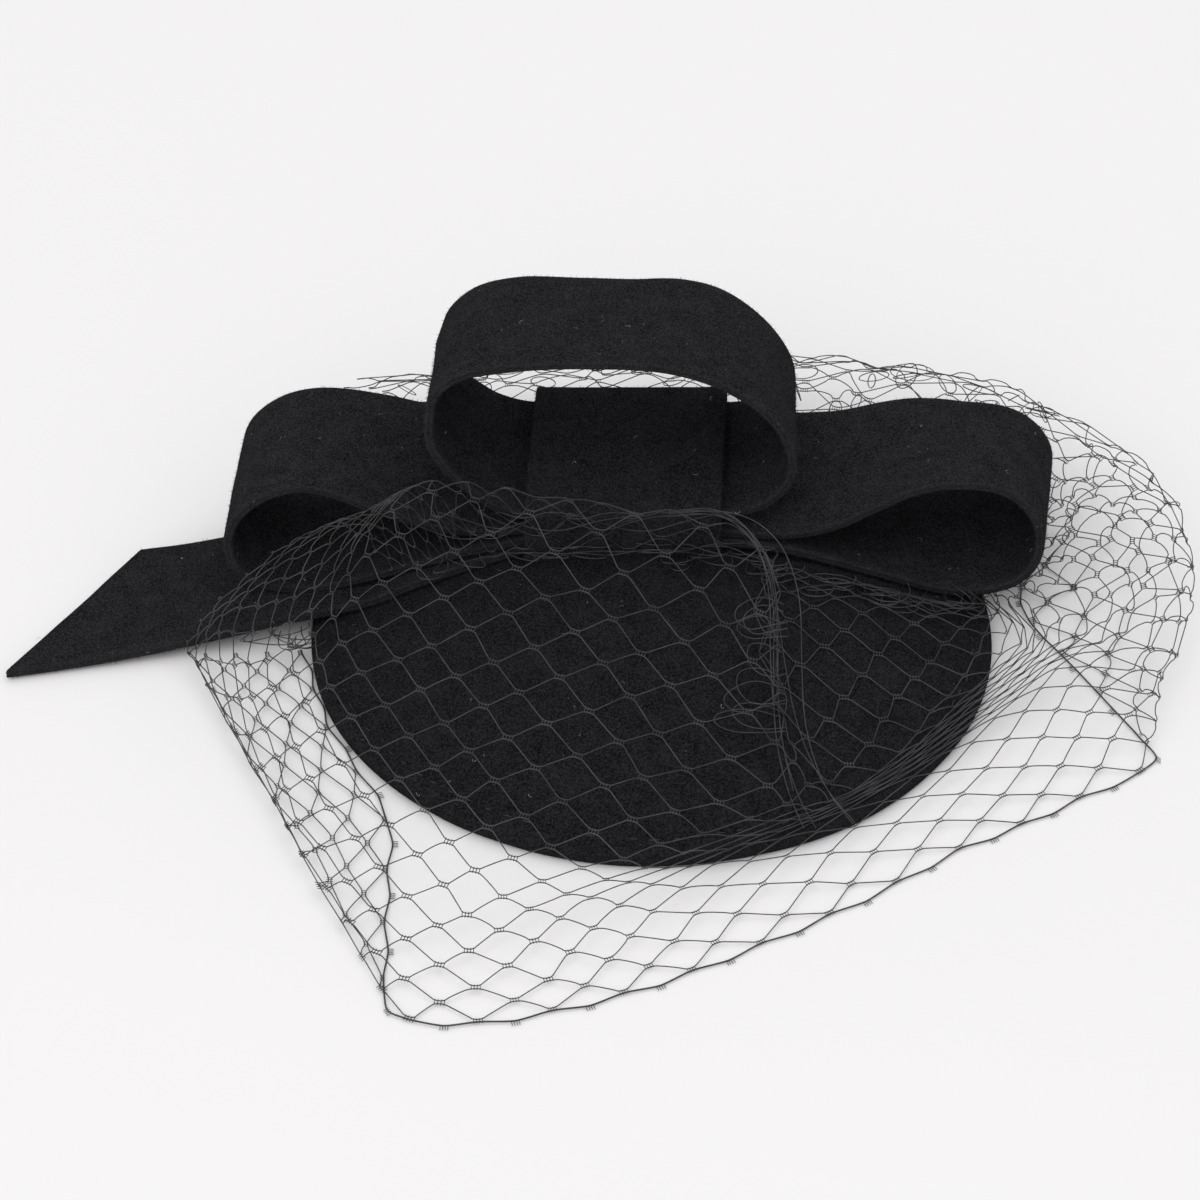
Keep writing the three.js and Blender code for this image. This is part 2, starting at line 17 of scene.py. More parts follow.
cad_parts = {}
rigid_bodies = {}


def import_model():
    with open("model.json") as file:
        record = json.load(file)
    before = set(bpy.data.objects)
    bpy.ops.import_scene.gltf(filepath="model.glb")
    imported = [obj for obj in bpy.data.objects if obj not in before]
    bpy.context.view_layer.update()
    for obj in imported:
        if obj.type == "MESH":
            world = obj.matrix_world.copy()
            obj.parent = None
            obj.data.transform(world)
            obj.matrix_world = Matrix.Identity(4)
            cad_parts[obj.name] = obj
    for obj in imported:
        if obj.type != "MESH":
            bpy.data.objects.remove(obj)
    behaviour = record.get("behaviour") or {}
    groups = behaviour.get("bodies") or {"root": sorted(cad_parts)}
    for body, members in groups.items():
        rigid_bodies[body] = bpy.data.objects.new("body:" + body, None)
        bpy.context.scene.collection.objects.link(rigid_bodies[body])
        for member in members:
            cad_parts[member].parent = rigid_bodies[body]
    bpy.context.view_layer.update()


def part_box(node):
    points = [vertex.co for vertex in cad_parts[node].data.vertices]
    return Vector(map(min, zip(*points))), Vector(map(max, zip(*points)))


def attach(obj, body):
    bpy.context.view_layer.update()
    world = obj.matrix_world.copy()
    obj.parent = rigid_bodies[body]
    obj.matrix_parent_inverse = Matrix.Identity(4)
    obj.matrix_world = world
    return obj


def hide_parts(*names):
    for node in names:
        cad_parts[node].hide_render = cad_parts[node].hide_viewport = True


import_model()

bl_info = {
    "name": "Felt fascinator",
    "version": (1, 0, 0),
    "blender": (4, 5, 0),
    "location": "View3D > Sidebar > Fascinator",
    "description": "Builds a felt saucer with a ribbon bow, a comb and a net veil",
    "category": "Object",
}

MM = 0.001

# ---- tables of the soft forms, in mm

# Ribbon loops.  x, z: outside face of the front edge.  lean_x, lean_z: how far the back edge
# lies off it.
RibbonRow = namedtuple("RibbonRow", "x z lean_x lean_z")

RIGHT_LOOP = [RibbonRow(*row) for row in (
    (-4, 33, 0, 3), (20, 32.1, 3, 5), (40, 30.9, 5, 9.2), (54, 33.4, 6, 7.5), (67, 40, 6, 3),
    (80, 46.4, 6, -2.6), (93, 48.8, 6, -6.4), (106, 47.3, 6, -6.7), (115, 41.5, 6.5, -6),
    (120, 33, 7, -5), (121, 24.5, 7, -4), (118, 16.5, 7, -1), (110.5, 10.8, 6, 2), (98, 8.6, 5, 4),
    (86, 10.1, 4, 2.5), (73, 14.2, 3, -2), (58, 18.9, 2, -5.5), (42, 23.2, 1, -7),
    (22, 25.9, 0, -7.5), (-4, 26.8, 0, -8),
)]

LEFT_LOOP = [RibbonRow(*row) for row in (
    (-12, 28.4, 0, -6.5), (-24, 28.3, 0, -6.5), (-36, 27, 0, -6), (-52, 23.7, 0, -5),
    (-68, 19.5, 1, -3.5), (-84, 14.8, 2, -2), (-98, 11, 3, -1), (-110, 9.4, 3, 0),
    (-122, 11.6, 3, 0), (-129.5, 17.5, 3, 0), (-132, 25, 3, 0), (-130.7, 33, 3, 0),
    (-126, 39.6, 3, 0), (-118, 44.9, 3, 0), (-108, 47.4, 3, 0), (-98, 45.8, 3, 1.5),
    (-86, 40.6, 3, 5), (-72, 35, 2, 8), (-57, 32, 1, 9), (-40, 32.6, 1, 8), (-25, 34.6, 0, 5),
    (-12, 34.8, 0, 4),
)]

TOP_LOOP = [RibbonRow(*row) for row in (
    (-8, 35.2, 0, 5), (-24, 35.2, 0, 5), (-38, 35.6, 0, 5.3), (-48, 38.6, 0, 5), (-56, 44.4, 0, 4),
    (-63.5, 51.8, 0, 2), (-68.5, 60.5, 1.5, 0), (-69, 70, 3.5, -2), (-66.8, 79.4, 5, -3),
    (-58.2, 86, 5, -3), (-44, 88.5, 4, -2.6), (-26, 90, 3, -4.7), (-8, 89.8, 2, -5),
    (8, 87.5, 1.5, -2.6), (22, 82.5, 1, -1.6), (33.5, 75, 1, -3), (41, 65.5, 1.5, -4),
    (44, 56, 1.5, -3), (42.5, 47, 2, -1), (35, 39.6, 1, 2), (24, 36.2, 0, 4), (8, 35.2, 0, 5),
)]

# Tail.  run, back_run: distance from the root along each edge.  z: underside.  lean_z: rise to
# the back.
TailRow = namedtuple("TailRow", "run back_run z lean_z")

TAIL = [TailRow(*row) for row in (
    (0, 0, 24.8, -7.6), (16, 16, 22.8, -6.8), (32, 32, 19.4, -7), (47, 47, 15.6, -6.6),
    (62, 62, 10.5, -6), (76, 76, 8.6, -4.4), (90, 87, 7.4, -4.4), (108, 98, 5, -3.4),
    (130, 110, 2.4, -1.6), (153, 119.5, 0.7, -0.3), (177, 129, 0.35, 0),
)]

# Centre band, outside face from its front foot over the bow to its rear foot.  clear: height
# above the saucer, for the feet, which follow the dome.
KnotRow = namedtuple("KnotRow", "y z clear")

KNOT = [KnotRow(*row) for row in (
    (9, 0, 0.6), (9.8, 32, 0), (10.5, 39.2, 0), (13.8, 42.3, 0), (28, 44.3, 0), (48, 46.3, 0),
    (65, 47.4, 0), (69.6, 44.5, 0), (70.5, 36, 0), (71, 26, 0), (71.5, 0, 1.5),
)]

# Veil.  Each section follows one column of the net from its hem to the gather.  column: cells
# along the hem before it.  turns: the net's row, counted from the hem, and its place there.
VeilSection = namedtuple("VeilSection", "column turns")

VEIL = [VeilSection(*section) for section in (
    (-2, ((0, -108, -8, 1), (1.6, -124, -10, 1.5), (3.1, -138, -13, 4), (4.6, -144, -13, 6),
     (6.5, -136, -3, 14), (9, -116, 7, 29), (11, -100, 10, 37), (12, -90, 9, 34),
     (14, -80, 9, 20))),
    (0, ((0, -99, -42, 0.6), (1.5, -115, -40, 1), (3, -131, -37, 2.5), (4.6, -138, -20, 6),
     (6.4, -131, -8, 14), (9, -110, 3, 30), (11, -93, 8, 42), (12, -83, 9, 43), (14, -72, 9, 23))),
    (2, ((0, -78, -84, 0.6), (1.5, -94, -84, 1), (2.9, -111, -82, 2.5), (4.6, -121, -60, 5),
     (6.4, -121, -36, 12), (8.6, -106, -15, 26), (10.5, -90, 0, 42), (12, -75, 9, 54),
     (14, -64, 9, 25))),
    (4, ((0, -78, -128, 0.6), (1.1, -91, -127, 2), (2.6, -102, -108, 4), (4, -106, -92, 6),
     (5, -102, -77, 10), (6, -99, -62, 15), (8, -94, -34, 26), (10, -88, -8, 40), (11, -81, 3, 49),
     (12, -66, 10, 57), (14, -56, 9, 26))),
    (5, ((0, -77, -151, 0.6), (1, -84, -145, 1.5), (2, -88, -131, 2), (3, -89, -115, 4),
     (5, -85, -84, 10), (7, -79, -56, 21), (9, -74, -29, 33), (10, -71, -16, 41), (11, -66, -2, 50),
     (12, -56, 9, 58), (14, -49, 9, 27))),
    (5.6, ((0, -77, -166, 0.6), (1, -78, -151, 1.5), (3, -79, -120, 4.5), (5, -74, -90, 12),
     (7, -69, -63, 23), (9, -62, -36, 35), (11, -56, -7, 49), (12, -49, 7, 59), (14, -44, 9, 27))),
    (6, ((0, -69, -168, 0.6), (1, -71, -152, 1.5), (3, -71, -123, 5), (5, -66, -95, 13),
     (7, -62, -68, 24), (9, -54, -40, 36), (11, -49, -10, 49), (12, -44, 5, 59), (14, -39, 9, 27))),
    (7, ((0, -50, -169, 0.6), (1, -51, -157, 1.5), (3, -54, -131, 5), (5, -49, -102, 13),
     (7, -43, -74, 24), (9, -36, -46, 35), (11, -29, -16, 47), (12.1, -25, 3, 57),
     (14, -25, 9, 27))),
    (8, ((0, -29, -164, 0.6), (1, -30, -153, 1.5), (2, -35, -139, 3), (3, -36, -127, 5),
     (4, -32, -120, 8), (5, -30, -109, 12), (7, -23, -81, 23), (9, -15, -52, 33), (11, -8, -24, 42),
     (12.2, -5, 2, 54), (14, -8, 9, 28))),
    (9, ((0, -9, -157, 0.6), (1, -13, -145, 2), (2, -18, -134, 4), (3, -19, -124, 6),
     (5, -9, -113, 9), (6, -6, -100, 14), (8, 1, -72, 24), (10, 9, -42, 34), (11, 13, -26, 40),
     (12.3, 17, 1, 51), (14, 12, 9, 28))),
    (10, ((0, 10, -148, 0.6), (1, 5, -137, 2), (2, -1, -128, 4), (3, -2, -119, 7),
     (6, 13, -105, 11), (7, 18, -94, 15), (9, 27, -66, 25), (11, 33, -32, 35), (12.2, 34, -6, 46),
     (14, 26, 8, 27))),
    (10.7, ((0, 24, -140, 0.6), (1, 18, -130, 2), (2, 13, -120, 4), (3, 11, -113, 7),
     (6.8, 34, -94, 11), (8, 42, -76, 14), (9.5, 43, -52, 22), (11, 41, -30, 31),
     (12.2, 42, -6, 38), (14, 34, 7, 25))),
    (11.4, ((0, 38, -132, 0.6), (1, 32, -121, 2), (2, 26, -112, 4), (3.2, 24, -105, 7),
     (7.2, 46, -86, 10), (8.4, 38, -66, 15), (9.7, 31, -46, 19), (11, 27, -24, 24),
     (12.2, 30, -4, 27), (14, 38, 6, 24))),
    (12.2, ((0, 54, -122, 0.6), (1, 48, -111, 2), (2, 42, -101, 4), (3.2, 40, -95, 6),
     (8, 57, -82, 8), (9.2, 47, -60, 14), (10.4, 38, -38, 19), (11.6, 35, -14, 24),
     (14, 43, 5, 23))),
    (13, ((0, 70, -111, 0.6), (1, 64, -100, 2), (2, 58, -91, 4), (3, 56, -86, 5), (8.5, 68, -70, 8),
     (10, 58, -46, 14), (11.5, 50, -18, 20), (12.4, 49, -4, 22), (14, 50, 5, 21))),
    (14, ((0, 89, -96, 0.6), (1, 84, -86, 2), (2, 79, -77, 4), (3, 77, -70, 5), (9, 80, -56, 8),
     (10.5, 70, -33, 13), (12, 64, -8, 18), (14, 62, 5, 18))),
    (15, ((0, 108, -86, 0.6), (1, 103, -75, 2), (2, 99, -65, 3), (3.2, 95, -52, 5),
     (10, 90, -40, 8), (11.5, 82, -18, 12), (12.5, 78, -2, 15), (14, 77, 5, 14))),
    (16, ((0, 126, -74, 0.6), (1, 122, -62, 2), (2, 117, -51, 4), (3.3, 111, -37, 6),
     (10.5, 102, -25, 8), (12, 95, -8, 11), (14, 92, 5, 10))),
    (17.4, ((0, 153, -58, 0.6), (1, 144, -47, 4), (2.5, 134, -33, 8), (4, 127, -21, 11),
     (10, 117, -13, 13), (12, 108, -3, 12), (14, 103, 6, 9))),
    (18, ((0, 147, -46, 0.6), (1.2, 156, -46, 5), (2.2, 152, -36, 10), (3.5, 143, -25, 12),
     (6.2, 133, -14, 14), (8, 116, 1, 12), (9.5, 106, 8, 9), (14, 90, 16, 10))),
    (19.5, ((0, 131, -15, 0.6), (1.8, 154, -20, 3), (2.8, 167, -14, 9), (3.9, 160, -3, 15),
     (5.6, 148, 5, 19), (6.8, 133, 9, 19), (7.9, 121, 12, 12), (9, 110, 16, 8), (14, 94, 22, 10))),
    (21, ((0, 118, 8, 0.6), (2, 148, 10, 3), (3.5, 171, 14, 10), (4.5, 163, 22, 20),
     (5.7, 147, 26, 26), (6.8, 134, 26, 24), (7.8, 126, 24, 13), (9, 116, 24, 8), (14, 96, 26, 9))),
    (22.6, ((0, 116, 36, 0.6), (2, 148, 40, 3), (3.7, 173, 42, 11), (4.9, 161, 42, 23),
     (6.2, 143, 40, 28), (7.1, 134, 40, 22), (8.2, 127, 38, 12), (9.4, 117, 38, 7),
     (14, 98, 38, 8))),
    (24.6, ((0, 106, 62, 0.6), (2, 134, 70, 3), (3.6, 160, 76, 11), (4.9, 148, 70, 24),
     (6, 135, 64, 28), (6.9, 130, 60, 20), (8, 125, 58, 11), (9.4, 115, 55, 6), (14, 96, 48, 8))),
    (26.6, ((0, 84, 84, 0.6), (2, 104, 98, 3), (3.6, 122, 112, 11), (5, 113, 102, 24),
     (6.2, 106, 90, 27), (7.3, 101, 81, 19), (8.6, 96, 72, 11), (14, 84, 58, 10))),
    (28.8, ((0, 56, 100, 0.6), (1.6, 64, 114, 2), (3.2, 72, 130, 10), (4.6, 68, 116, 24),
     (6, 64, 100, 28), (7.2, 62, 88, 23), (8.6, 60, 76, 15), (14, 54, 60, 14))),
    (31, ((0, 18, 107, 0.6), (1.6, 19, 120, 2), (3.2, 20, 134, 10), (4.6, 19, 118, 23),
     (6, 18, 102, 27), (7.2, 18, 89, 23), (8.6, 18, 76, 17), (14, 18, 62, 16))),
    (33.4, ((0, -30, 106, 0.6), (1.6, -33, 118, 2), (3.2, -38, 131, 9), (4.6, -34, 116, 23),
     (6, -31, 101, 26), (7.2, -30, 88, 22), (8.6, -30, 76, 16), (14, -30, 62, 16))),
    (36, ((0, -76, 99, 0.6), (1.6, -88, 110, 2), (3.2, -100, 122, 8), (4.6, -92, 110, 20),
     (6, -85, 97, 22), (7.2, -80, 86, 17), (8.6, -76, 76, 12), (14, -68, 62, 12))),
)]

# ---- sizes, in mm
FELT = 3.0  # thickness of the ribbon
RIBBON_FRONT_Y = 14.4  # place of the ribbon's front edge at the height below
RIBBON_FRONT_Z = 40.0
RIBBON_LEAN = 0.14  # how far that edge leans back for each mm of height
RIBBON_STEPS = 9  # rings of mesh for each row of a table
RIBBON_COLUMNS = 22  # points across each face
EDGE_ROUND = 0.9  # radius of a cut edge
EDGE_STEPS = 3
LAYER_GROOVE = 0.3  # depth of the seam between the ribbon's two layers
GROOVE_HALF = 0.35
INSIDE_NAP = 0.3  # share of loose fibres on a ribbon's inside
UNDER_NAP = 0.05  # share of loose fibres under the saucer
WAVER_WIDE, WAVER_FINE = 0.035, 0.12  # waves in each mm of felt
FINE_SHARE = 0.35  # height of a fine wave next to a wide one
FELT_LIFT = 0.02  # least height of the ribbon over the floor
TAIL_ANGLE = math.radians(11.7)  # how far the tail turns to the front
TAIL_ROOT = (-24.0, 16.0, 0.0)  # front edge of the tail under the knot
KNOT_CENTRE_X = -9.5
KNOT_SKEW = 0.055  # how far the band moves aside for each mm to the back
HEM_THICKNESS = 4.6  # height of the rim
HEM_EASE = 8  # how late the dome turns up into its hem
HEM_TUCK = 2.2  # radius of the rim's upper turn
HEM_TURN = 1.2  # radius of the rim's lower turn
HEM_RAW_EDGE = 1.0  # height of the hem's raw edge under the dome
UNDERSIDE = 2.5  # points lower than this are under the rim
LEAST_ROOF = 1.4  # least height of the dome's inside
STITCH_DENT, STITCH_SPREAD = 0.45, 0.75  # depth and half width of the row of stitches
STITCH_SINK = 0.35  # how far a stitch lies in the felt
STITCH_STRAY = 0.7
SAUCER_TURNS = 300  # points round the saucer
CROWN_RINGS = (0, 90, 34)  # radius of the first and the last, and their number
BRIM_START, BRIM_RINGS, HEM_RINGS, ROOF_RINGS = 91.5, 26, 8, 30
RIM_WAVE, RIM_WAVES = 0.45, 2.3  # how far the rim is out of round, and how often
DOME_PUFF, DOME_PUFFS = 0.25, 0.05  # unevenness of the pressed felt, and its waves in each mm
NET_REST = 0.6  # least height of the net's nodes over what they lie on
NET_ROWS = 14  # rows of the net from its hem to the gather
NET_FINE = 10  # points of the drape for each cell
NET_TIGHT = 5.0  # slack that a thread hides in its knots
NET_GAP = 7.0  # half a cell, at which a knot has its full size
KNOT_SIZES = (0.3, 1.0)  # least and full size of a knot
THREAD_APART = (0.1, 0.07, 0.62)  # of two threads at a knot: least, share of half a cell, most
KNOT_REACH = (0.2, 0.16)  # half length of a knot: least, share of half a cell
BEND = 0.24  # share of a cell's side at which slack thread bends
BOW_STRAY, BOW_SIZES = 0.7, (0.4, 1.3)  # of its bow: turn off the net's normal, and least and most
THREAD_CLEAR, LOOP_CLEAR = 0.25, 0.5  # over the felt, for the net and for its loose thread
HEM_IN, HEM_OUT, HEM_TAUT = 0.4, 1.7, 1.2  # of the hem cord from the net's first row
HEM_HALF = 1.4  # half of the cord's run along each node
HEM_LIFT = 0.4  # least height of the cord and its tufts
TUFT_OUT, TUFT_SIZE = 2.5, 0.8
WRAPS = 4
WRAP_GAP, WRAP_LENGTH, WRAP_THREAD = 0.27, 0.6, 0.75  # shares of the knot and of the thread
NET_SIDES, HEM_SIDES, LOOSE_SIDES = 5, 6, 4  # of the section of a thread
STRAY_SEED, BOW_SEED, GATHER_SEED = 21, 33, 8
# How far the net's nodes stray, as a share of half a cell, at places along the hem.
STRAY = ((-2, 0.04), (5, 0.06), (9, 0.1), (12.2, 0.1), (13.5, 0.04), (17.4, 0.05), (19, 0.2),
         (27, 0.36), (36, 0.36))
TAUT_HEM = (17.4, 21.5)  # stretch of the hem that is pulled straight, in cells
GATHER_FRONT = (8, 42)  # half cells of the gather that lie in front of the bow
GATHER_BACK = (55, 76)  # and those behind it

# Thread bunched in the pleat right of the middle, from the crest down to the front.
PLEAT = np.array(((4, 4, 46), (22, 1, 50), (34, -6, 45), (39, -22, 36), (38, -44, 27),
                  (38, -66, 19), (43, -86, 13), (51, -99, 9), (62, -104, 6)))
# Numbers of the crumpled threads: wavering lines, half cells at the gather and beside the tail,
# swags, threads and loops in the pleat, and rings behind the bow.
WAVERING, HANGING, BESIDE_TAIL, SWAGS, BUNCHED, LOOPS, RINGS = 7, 36, 10, 9, 6, 8, 64
FROM_CORNER = (-6, 4, 3)  # those beside the tail, from the net's first corner
RING_FLAT, RING_DROP = (1, 1, 0.5), (0, 0, 3.5)  # how the rings are pressed and hang down
# Half cell that hangs from the gather: shares of its half width and drop, and mm outward.
HALF_CELL = np.array(((-1, 0, 0), (-1.1, -0.5, 1.5), (-0.6, -1, 2.2), (0.6, -1, 2.2),
                      (1.1, -0.5, 1.5), (1, 0, 0)))
# Swag behind the crest: share of its half width, y and z, share of its lean and of its sag.
SWAG = np.array(((-1, 3, 47, 0, 0), (-0.6, 7, 49, 1, 0.8), (0, 6, 48, 1, 1), (0.6, 7, 49, 1, 0.7),
                 (1, 3, 46, 0, 0)))


# ---- settings
def setting(name, default, description, subtype="DISTANCE"):
    """A whole number, a colour, or a length where no other kind of number is named."""
    words = {"name": name, "default": default, "description": description}
    if isinstance(default, int):
        return bpy.props.IntProperty(**words)
    if isinstance(default, tuple):
        return bpy.props.FloatVectorProperty(size=3, subtype="COLOR", **words)
    return bpy.props.FloatProperty(subtype=subtype, **words)


class SaucerSettings(bpy.types.PropertyGroup):
    """Sizes of the round base"""

    radius: setting("Radius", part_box("base")[1].y, "Radius of the rim")
    rise: setting("Rise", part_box("base")[1].z, "Height of the dome's crown")
    wall: setting("Wall", 0.003, "Thickness of the felt")
    hem_width: setting("Hem width", 0.009, "Width of the felt folded under at the rim")
    stitch_inset: setting("Stitch inset", 0.0067, "Distance of the hem's stitches from the rim")
    stitch_count: setting("Stitches", 96, "Number of hand stitches round the hem")


class BowSettings(bpy.types.PropertyGroup):
    """Sizes of the felt ribbon bow"""

    ribbon_width: setting("Ribbon width", 0.052, "Width of the loops and the tail")
    knot_width: setting("Knot width", 0.06, "Width of the band over the bow")
    waver: setting("Waver", 0.00035, "How far the soft felt strays from its drawn line")


class NapSettings(bpy.types.PropertyGroup):
    """Loose fibres that stand out of the felt"""

    face_density: setting(
        "Fibres on faces", 640000.0, "Loose fibres on each square metre of felt", "NONE")
    edge_density: setting(
        "Fibres on cut edges", 2400000.0, "More fibres on each square metre of cut edge", "NONE")
    length: setting("Fibre length", 0.0009, "Usual length of a loose fibre")
    thickness: setting("Fibre thickness", 0.0001, "Thickness of a loose fibre at its root")
    curl_density: setting(
        "Curled hairs", 3000.0, "Curled hairs on each square metre of felt", "NONE")
    curl_length: setting("Curled hair length", 0.0024, "Usual length of a curled hair")


class VeilSettings(bpy.types.PropertyGroup):
    """Sizes of the net"""

    softness: setting("Softness", 3, "How widely the net's turns are rounded, in tenths of a cell")
    thread: setting("Thread", 0.00035, "Thickness of the net's thread")
    cell_side: setting("Cell side", 0.0142, "Length of thread along one side of a diamond")
    slack: setting("Bow", 1.5, "Share of its free length by which slack thread bows out", "FACTOR")
    hem_thread: setting("Hem thread", 0.00054, "Thickness of the cord along the hem")
    knot_length: setting("Knot length", 0.0034, "Stretch over which two threads run side by side")


class CombSettings(bpy.types.PropertyGroup):
    """Sizes of the hair comb"""

    teeth: setting("Teeth", 11, "Number of teeth")
    spine: setting("Spine", 0.007, "Depth of the comb's spine")
    tooth_width: setting("Tooth width", 0.0022, "Width of a tooth at its root")


class ColourSettings(bpy.types.PropertyGroup):
    """Colours of the materials"""

    saucer: setting("Saucer felt", (0.0158, 0.0156, 0.0180), "Felt of the saucer")
    # Lighter than the saucer's felt: the extra lightness is painted sheen on the bow's faces.
    ribbon: setting("Ribbon felt", (0.0203, 0.0197, 0.0224), "Felt of the bow")
    net: setting("Net", (0.0108, 0.0107, 0.0124), "Thread of the veil")
    comb: setting("Comb", (0.011, 0.011, 0.012), "Plastic of the comb")
    floor: setting("Floor", (0.889, 0.876, 0.873), "Pale floor")


# ---- lines and points
def spline(values, s):
    """Catmull-Rom values at places s of a list of numbers or points."""
    values, s = np.asarray(values, float), np.asarray(s, float)
    last = len(values) - 1
    i = np.clip(np.floor(s).astype(int), 0, last - 1)
    t = (s - i).reshape(s.shape + (1,) * (values.ndim - 1))
    p0, p1, p2, p3 = (values[np.clip(i + k, 0, last)] for k in (-1, 0, 1, 2))
    linear = (p2 - p0) * t
    square = (2 * p0 - 5 * p1 + 4 * p2 - p3) * t ** 2
    cube = (3 * p1 - p0 - 3 * p2 + p3) * t ** 3
    return 0.5 * (2 * p1 + linear + square + cube)


def fine(table):
    """The table with RIBBON_STEPS places for each row."""
    return spline(table, np.arange((len(table) - 1) * RIBBON_STEPS + 1) / RIBBON_STEPS)


def fine_rows(rows, ring=False):
    """A fine table's columns as named arrays, closed into a ring if asked."""
    table = np.array(rows, float)
    if ring:
        table = np.vstack([table[-1:], table, table[:2]])
        table = fine(table)[RIBBON_STEPS:-RIBBON_STEPS - 1]
    else:
        table = fine(table)
    return type(rows[0])(*table.T)


def unit(vectors):
    return vectors / np.maximum(np.linalg.norm(vectors, axis=-1, keepdims=True), 1e-12)


def quarter_turn(steps):
    return [math.pi / 2 * k / steps for k in range(steps + 1)]


def rounded(line, times):
    """Chaikin's corner cutting: the line with its corners rounded."""
    line = np.asarray(line, float)
    for _ in range(times):
        first = line[:-1] * 0.75 + line[1:] * 0.25
        second = line[:-1] * 0.25 + line[1:] * 0.75
        between = np.stack([first, second], axis=1).reshape(-1, 3)
        line = np.concatenate([line[:1], between, line[-1:]])
    return line


def saucer_top(x, y, radius, rise):
    """Height of the saucer's outside at a point in plan, all in mm."""
    share = np.minimum(np.hypot(x, y) / radius, 1)
    return rise * (1 - share ** 2) + HEM_THICKNESS * share ** HEM_EASE


def above_saucer(line, gap):
    """The line lifted, where it needs to be, clear of the saucer and the floor."""
    saucer = bpy.context.scene.fascinator_saucer
    radius, rise = saucer.radius / MM, saucer.rise / MM
    inside = np.hypot(line[:, 0], line[:, 1]) < radius
    dome = saucer_top(line[:, 0], line[:, 1], radius, rise)
    line[:, 2] = np.maximum(line[:, 2], np.where(inside, dome + gap, gap))
    return line


# ---- pieces
def new_object(name, mesh):
    piece = bpy.data.objects.new(name, mesh)
    bpy.context.scene.collection.objects.link(piece)
    return piece


def bare_mesh(name, points, edges=(), faces=()):
    mesh = bpy.data.meshes.new(name)
    mesh.from_pydata([tuple(p) for p in points], edges, faces)
    return mesh


def mesh_piece(name, points, faces, material):
    mesh = bare_mesh(name, points, faces=faces)
    mesh.materials.append(material)
    mesh.polygons.foreach_set("use_smooth", [True] * len(mesh.polygons))
    mesh.update()
    return new_object(name, mesh)


def store(mesh, name, values):
    """Keep a number or a vector for each point of the mesh."""
    values = np.asarray(values, np.float32)
    kind, field = ("FLOAT", "value") if values.ndim == 1 else ("FLOAT_VECTOR", "vector")
    mesh.attributes.new(name, kind, "POINT").data.foreach_set(field, values.ravel())


def finished_mesh(piece):
    """The piece's mesh with its modifiers applied."""
    graph = bpy.context.evaluated_depsgraph_get()
    return bpy.data.meshes.new_from_object(piece.evaluated_get(graph))


def soften_edges(piece, **settings):
    """Round the piece's sharp edges with a bevel, and apply it."""
    bevel = piece.modifiers.new("soft_edges", "BEVEL")
    for key, value in settings.items():
        setattr(bevel, key, value)
    mesh = finished_mesh(piece)
    piece.modifiers.remove(bevel)
    piece.data = mesh


def press_down(piece):
    """Keep hairs and threads from passing through the floor."""
    for vertex in piece.data.vertices:
        vertex.co.z = max(vertex.co.z, 0.0)


def settle(piece, slot, *nodes):
    """Fasten a finished piece to the part, and hide the solids that it stands for. The slot is not
    used.
    """
    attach(piece, "root")
    if nodes:
        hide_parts(*nodes)


# ---- node trees
class Tree:
    """A node tree.  An input is given a constant, a socket, or a node for its first output."""

    def __init__(self, tree):
        self.tree = tree

    def add(self, kind, settings=None, **inputs):
        node = self.tree.nodes.new(kind)
        for key, value in (settings or {}).items():
            setattr(node, key, value)
        for key, value in inputs.items():
            self.fill(node, key.replace("_", " "), value)
        return node

    def fill(self, node, key, value):
        if isinstance(value, bpy.types.Node):
            value = value.outputs[0]
        if isinstance(value, bpy.types.NodeSocket):
            self.tree.links.new(value, node.inputs[key])
        else:
            node.inputs[key].default_value = value

    def number(self, operation, *values):
        node = self.add("ShaderNodeMath", {"operation": operation})
        for key, value in enumerate(values):
            self.fill(node, key, value)
        return node

    def ramp(self, value, low, high):
        """The value run through a smooth step from 0 at low to 1 at high."""
        return self.add("ShaderNodeMapRange", {"interpolation_type": "SMOOTHSTEP"}, Value=value,
                        From_Min=low, From_Max=high)

    def mix(self, factor, first, second):
        node = self.add("ShaderNodeMix", {"data_type": "RGBA"})
        for key, value in ((0, factor), (6, first), (7, second)):
            self.fill(node, key, value)
        return node.outputs[2]

    def noise(self, scale, detail, **more):
        """Noise on Object coordinates, unless a place is given."""
        if "Vector" not in more:
            more["Vector"] = self.add("ShaderNodeTexCoord").outputs["Object"]
        return self.add("ShaderNodeTexNoise", Scale=scale, Detail=detail, **more)


class Effect(Tree):
    """A shader group with named inputs and outputs, for use in more than one material."""

    def __init__(self, name, inputs, outputs):
        super().__init__(bpy.data.node_groups.new(name, "ShaderNodeTree"))
        for way, keys in (("INPUT", inputs), ("OUTPUT", outputs)):
            for key in keys:
                self.tree.interface.new_socket(key, in_out=way, socket_type="NodeSocketFloat")
        self.inputs = self.add("NodeGroupInput").outputs
        self.end = self.add("NodeGroupOutput")


class Paint(Tree):
    """A material's tree, with constants or sockets for its shader's inputs."""

    def __init__(self, name, **inputs):
        self.material = bpy.data.materials.new(name)
        self.material.use_nodes = True
        super().__init__(self.material.node_tree)
        self.set(**inputs)

    def set(self, **inputs):
        for key, value in inputs.items():
            self.fill(self.tree.nodes["Principled BSDF"], key.replace("_", " "), value)

    def effect(self, name, make, **inputs):
        """The outputs of a shader group, which is made on its first use."""
        group = bpy.data.node_groups.get(name) or make()
        return self.add("ShaderNodeGroup", {"node_tree": group}, **inputs).outputs

    def bump(self, height, strength, distance):
        self.set(Normal=self.add("ShaderNodeBump", Strength=strength, Distance=distance,
                                 Height=height))


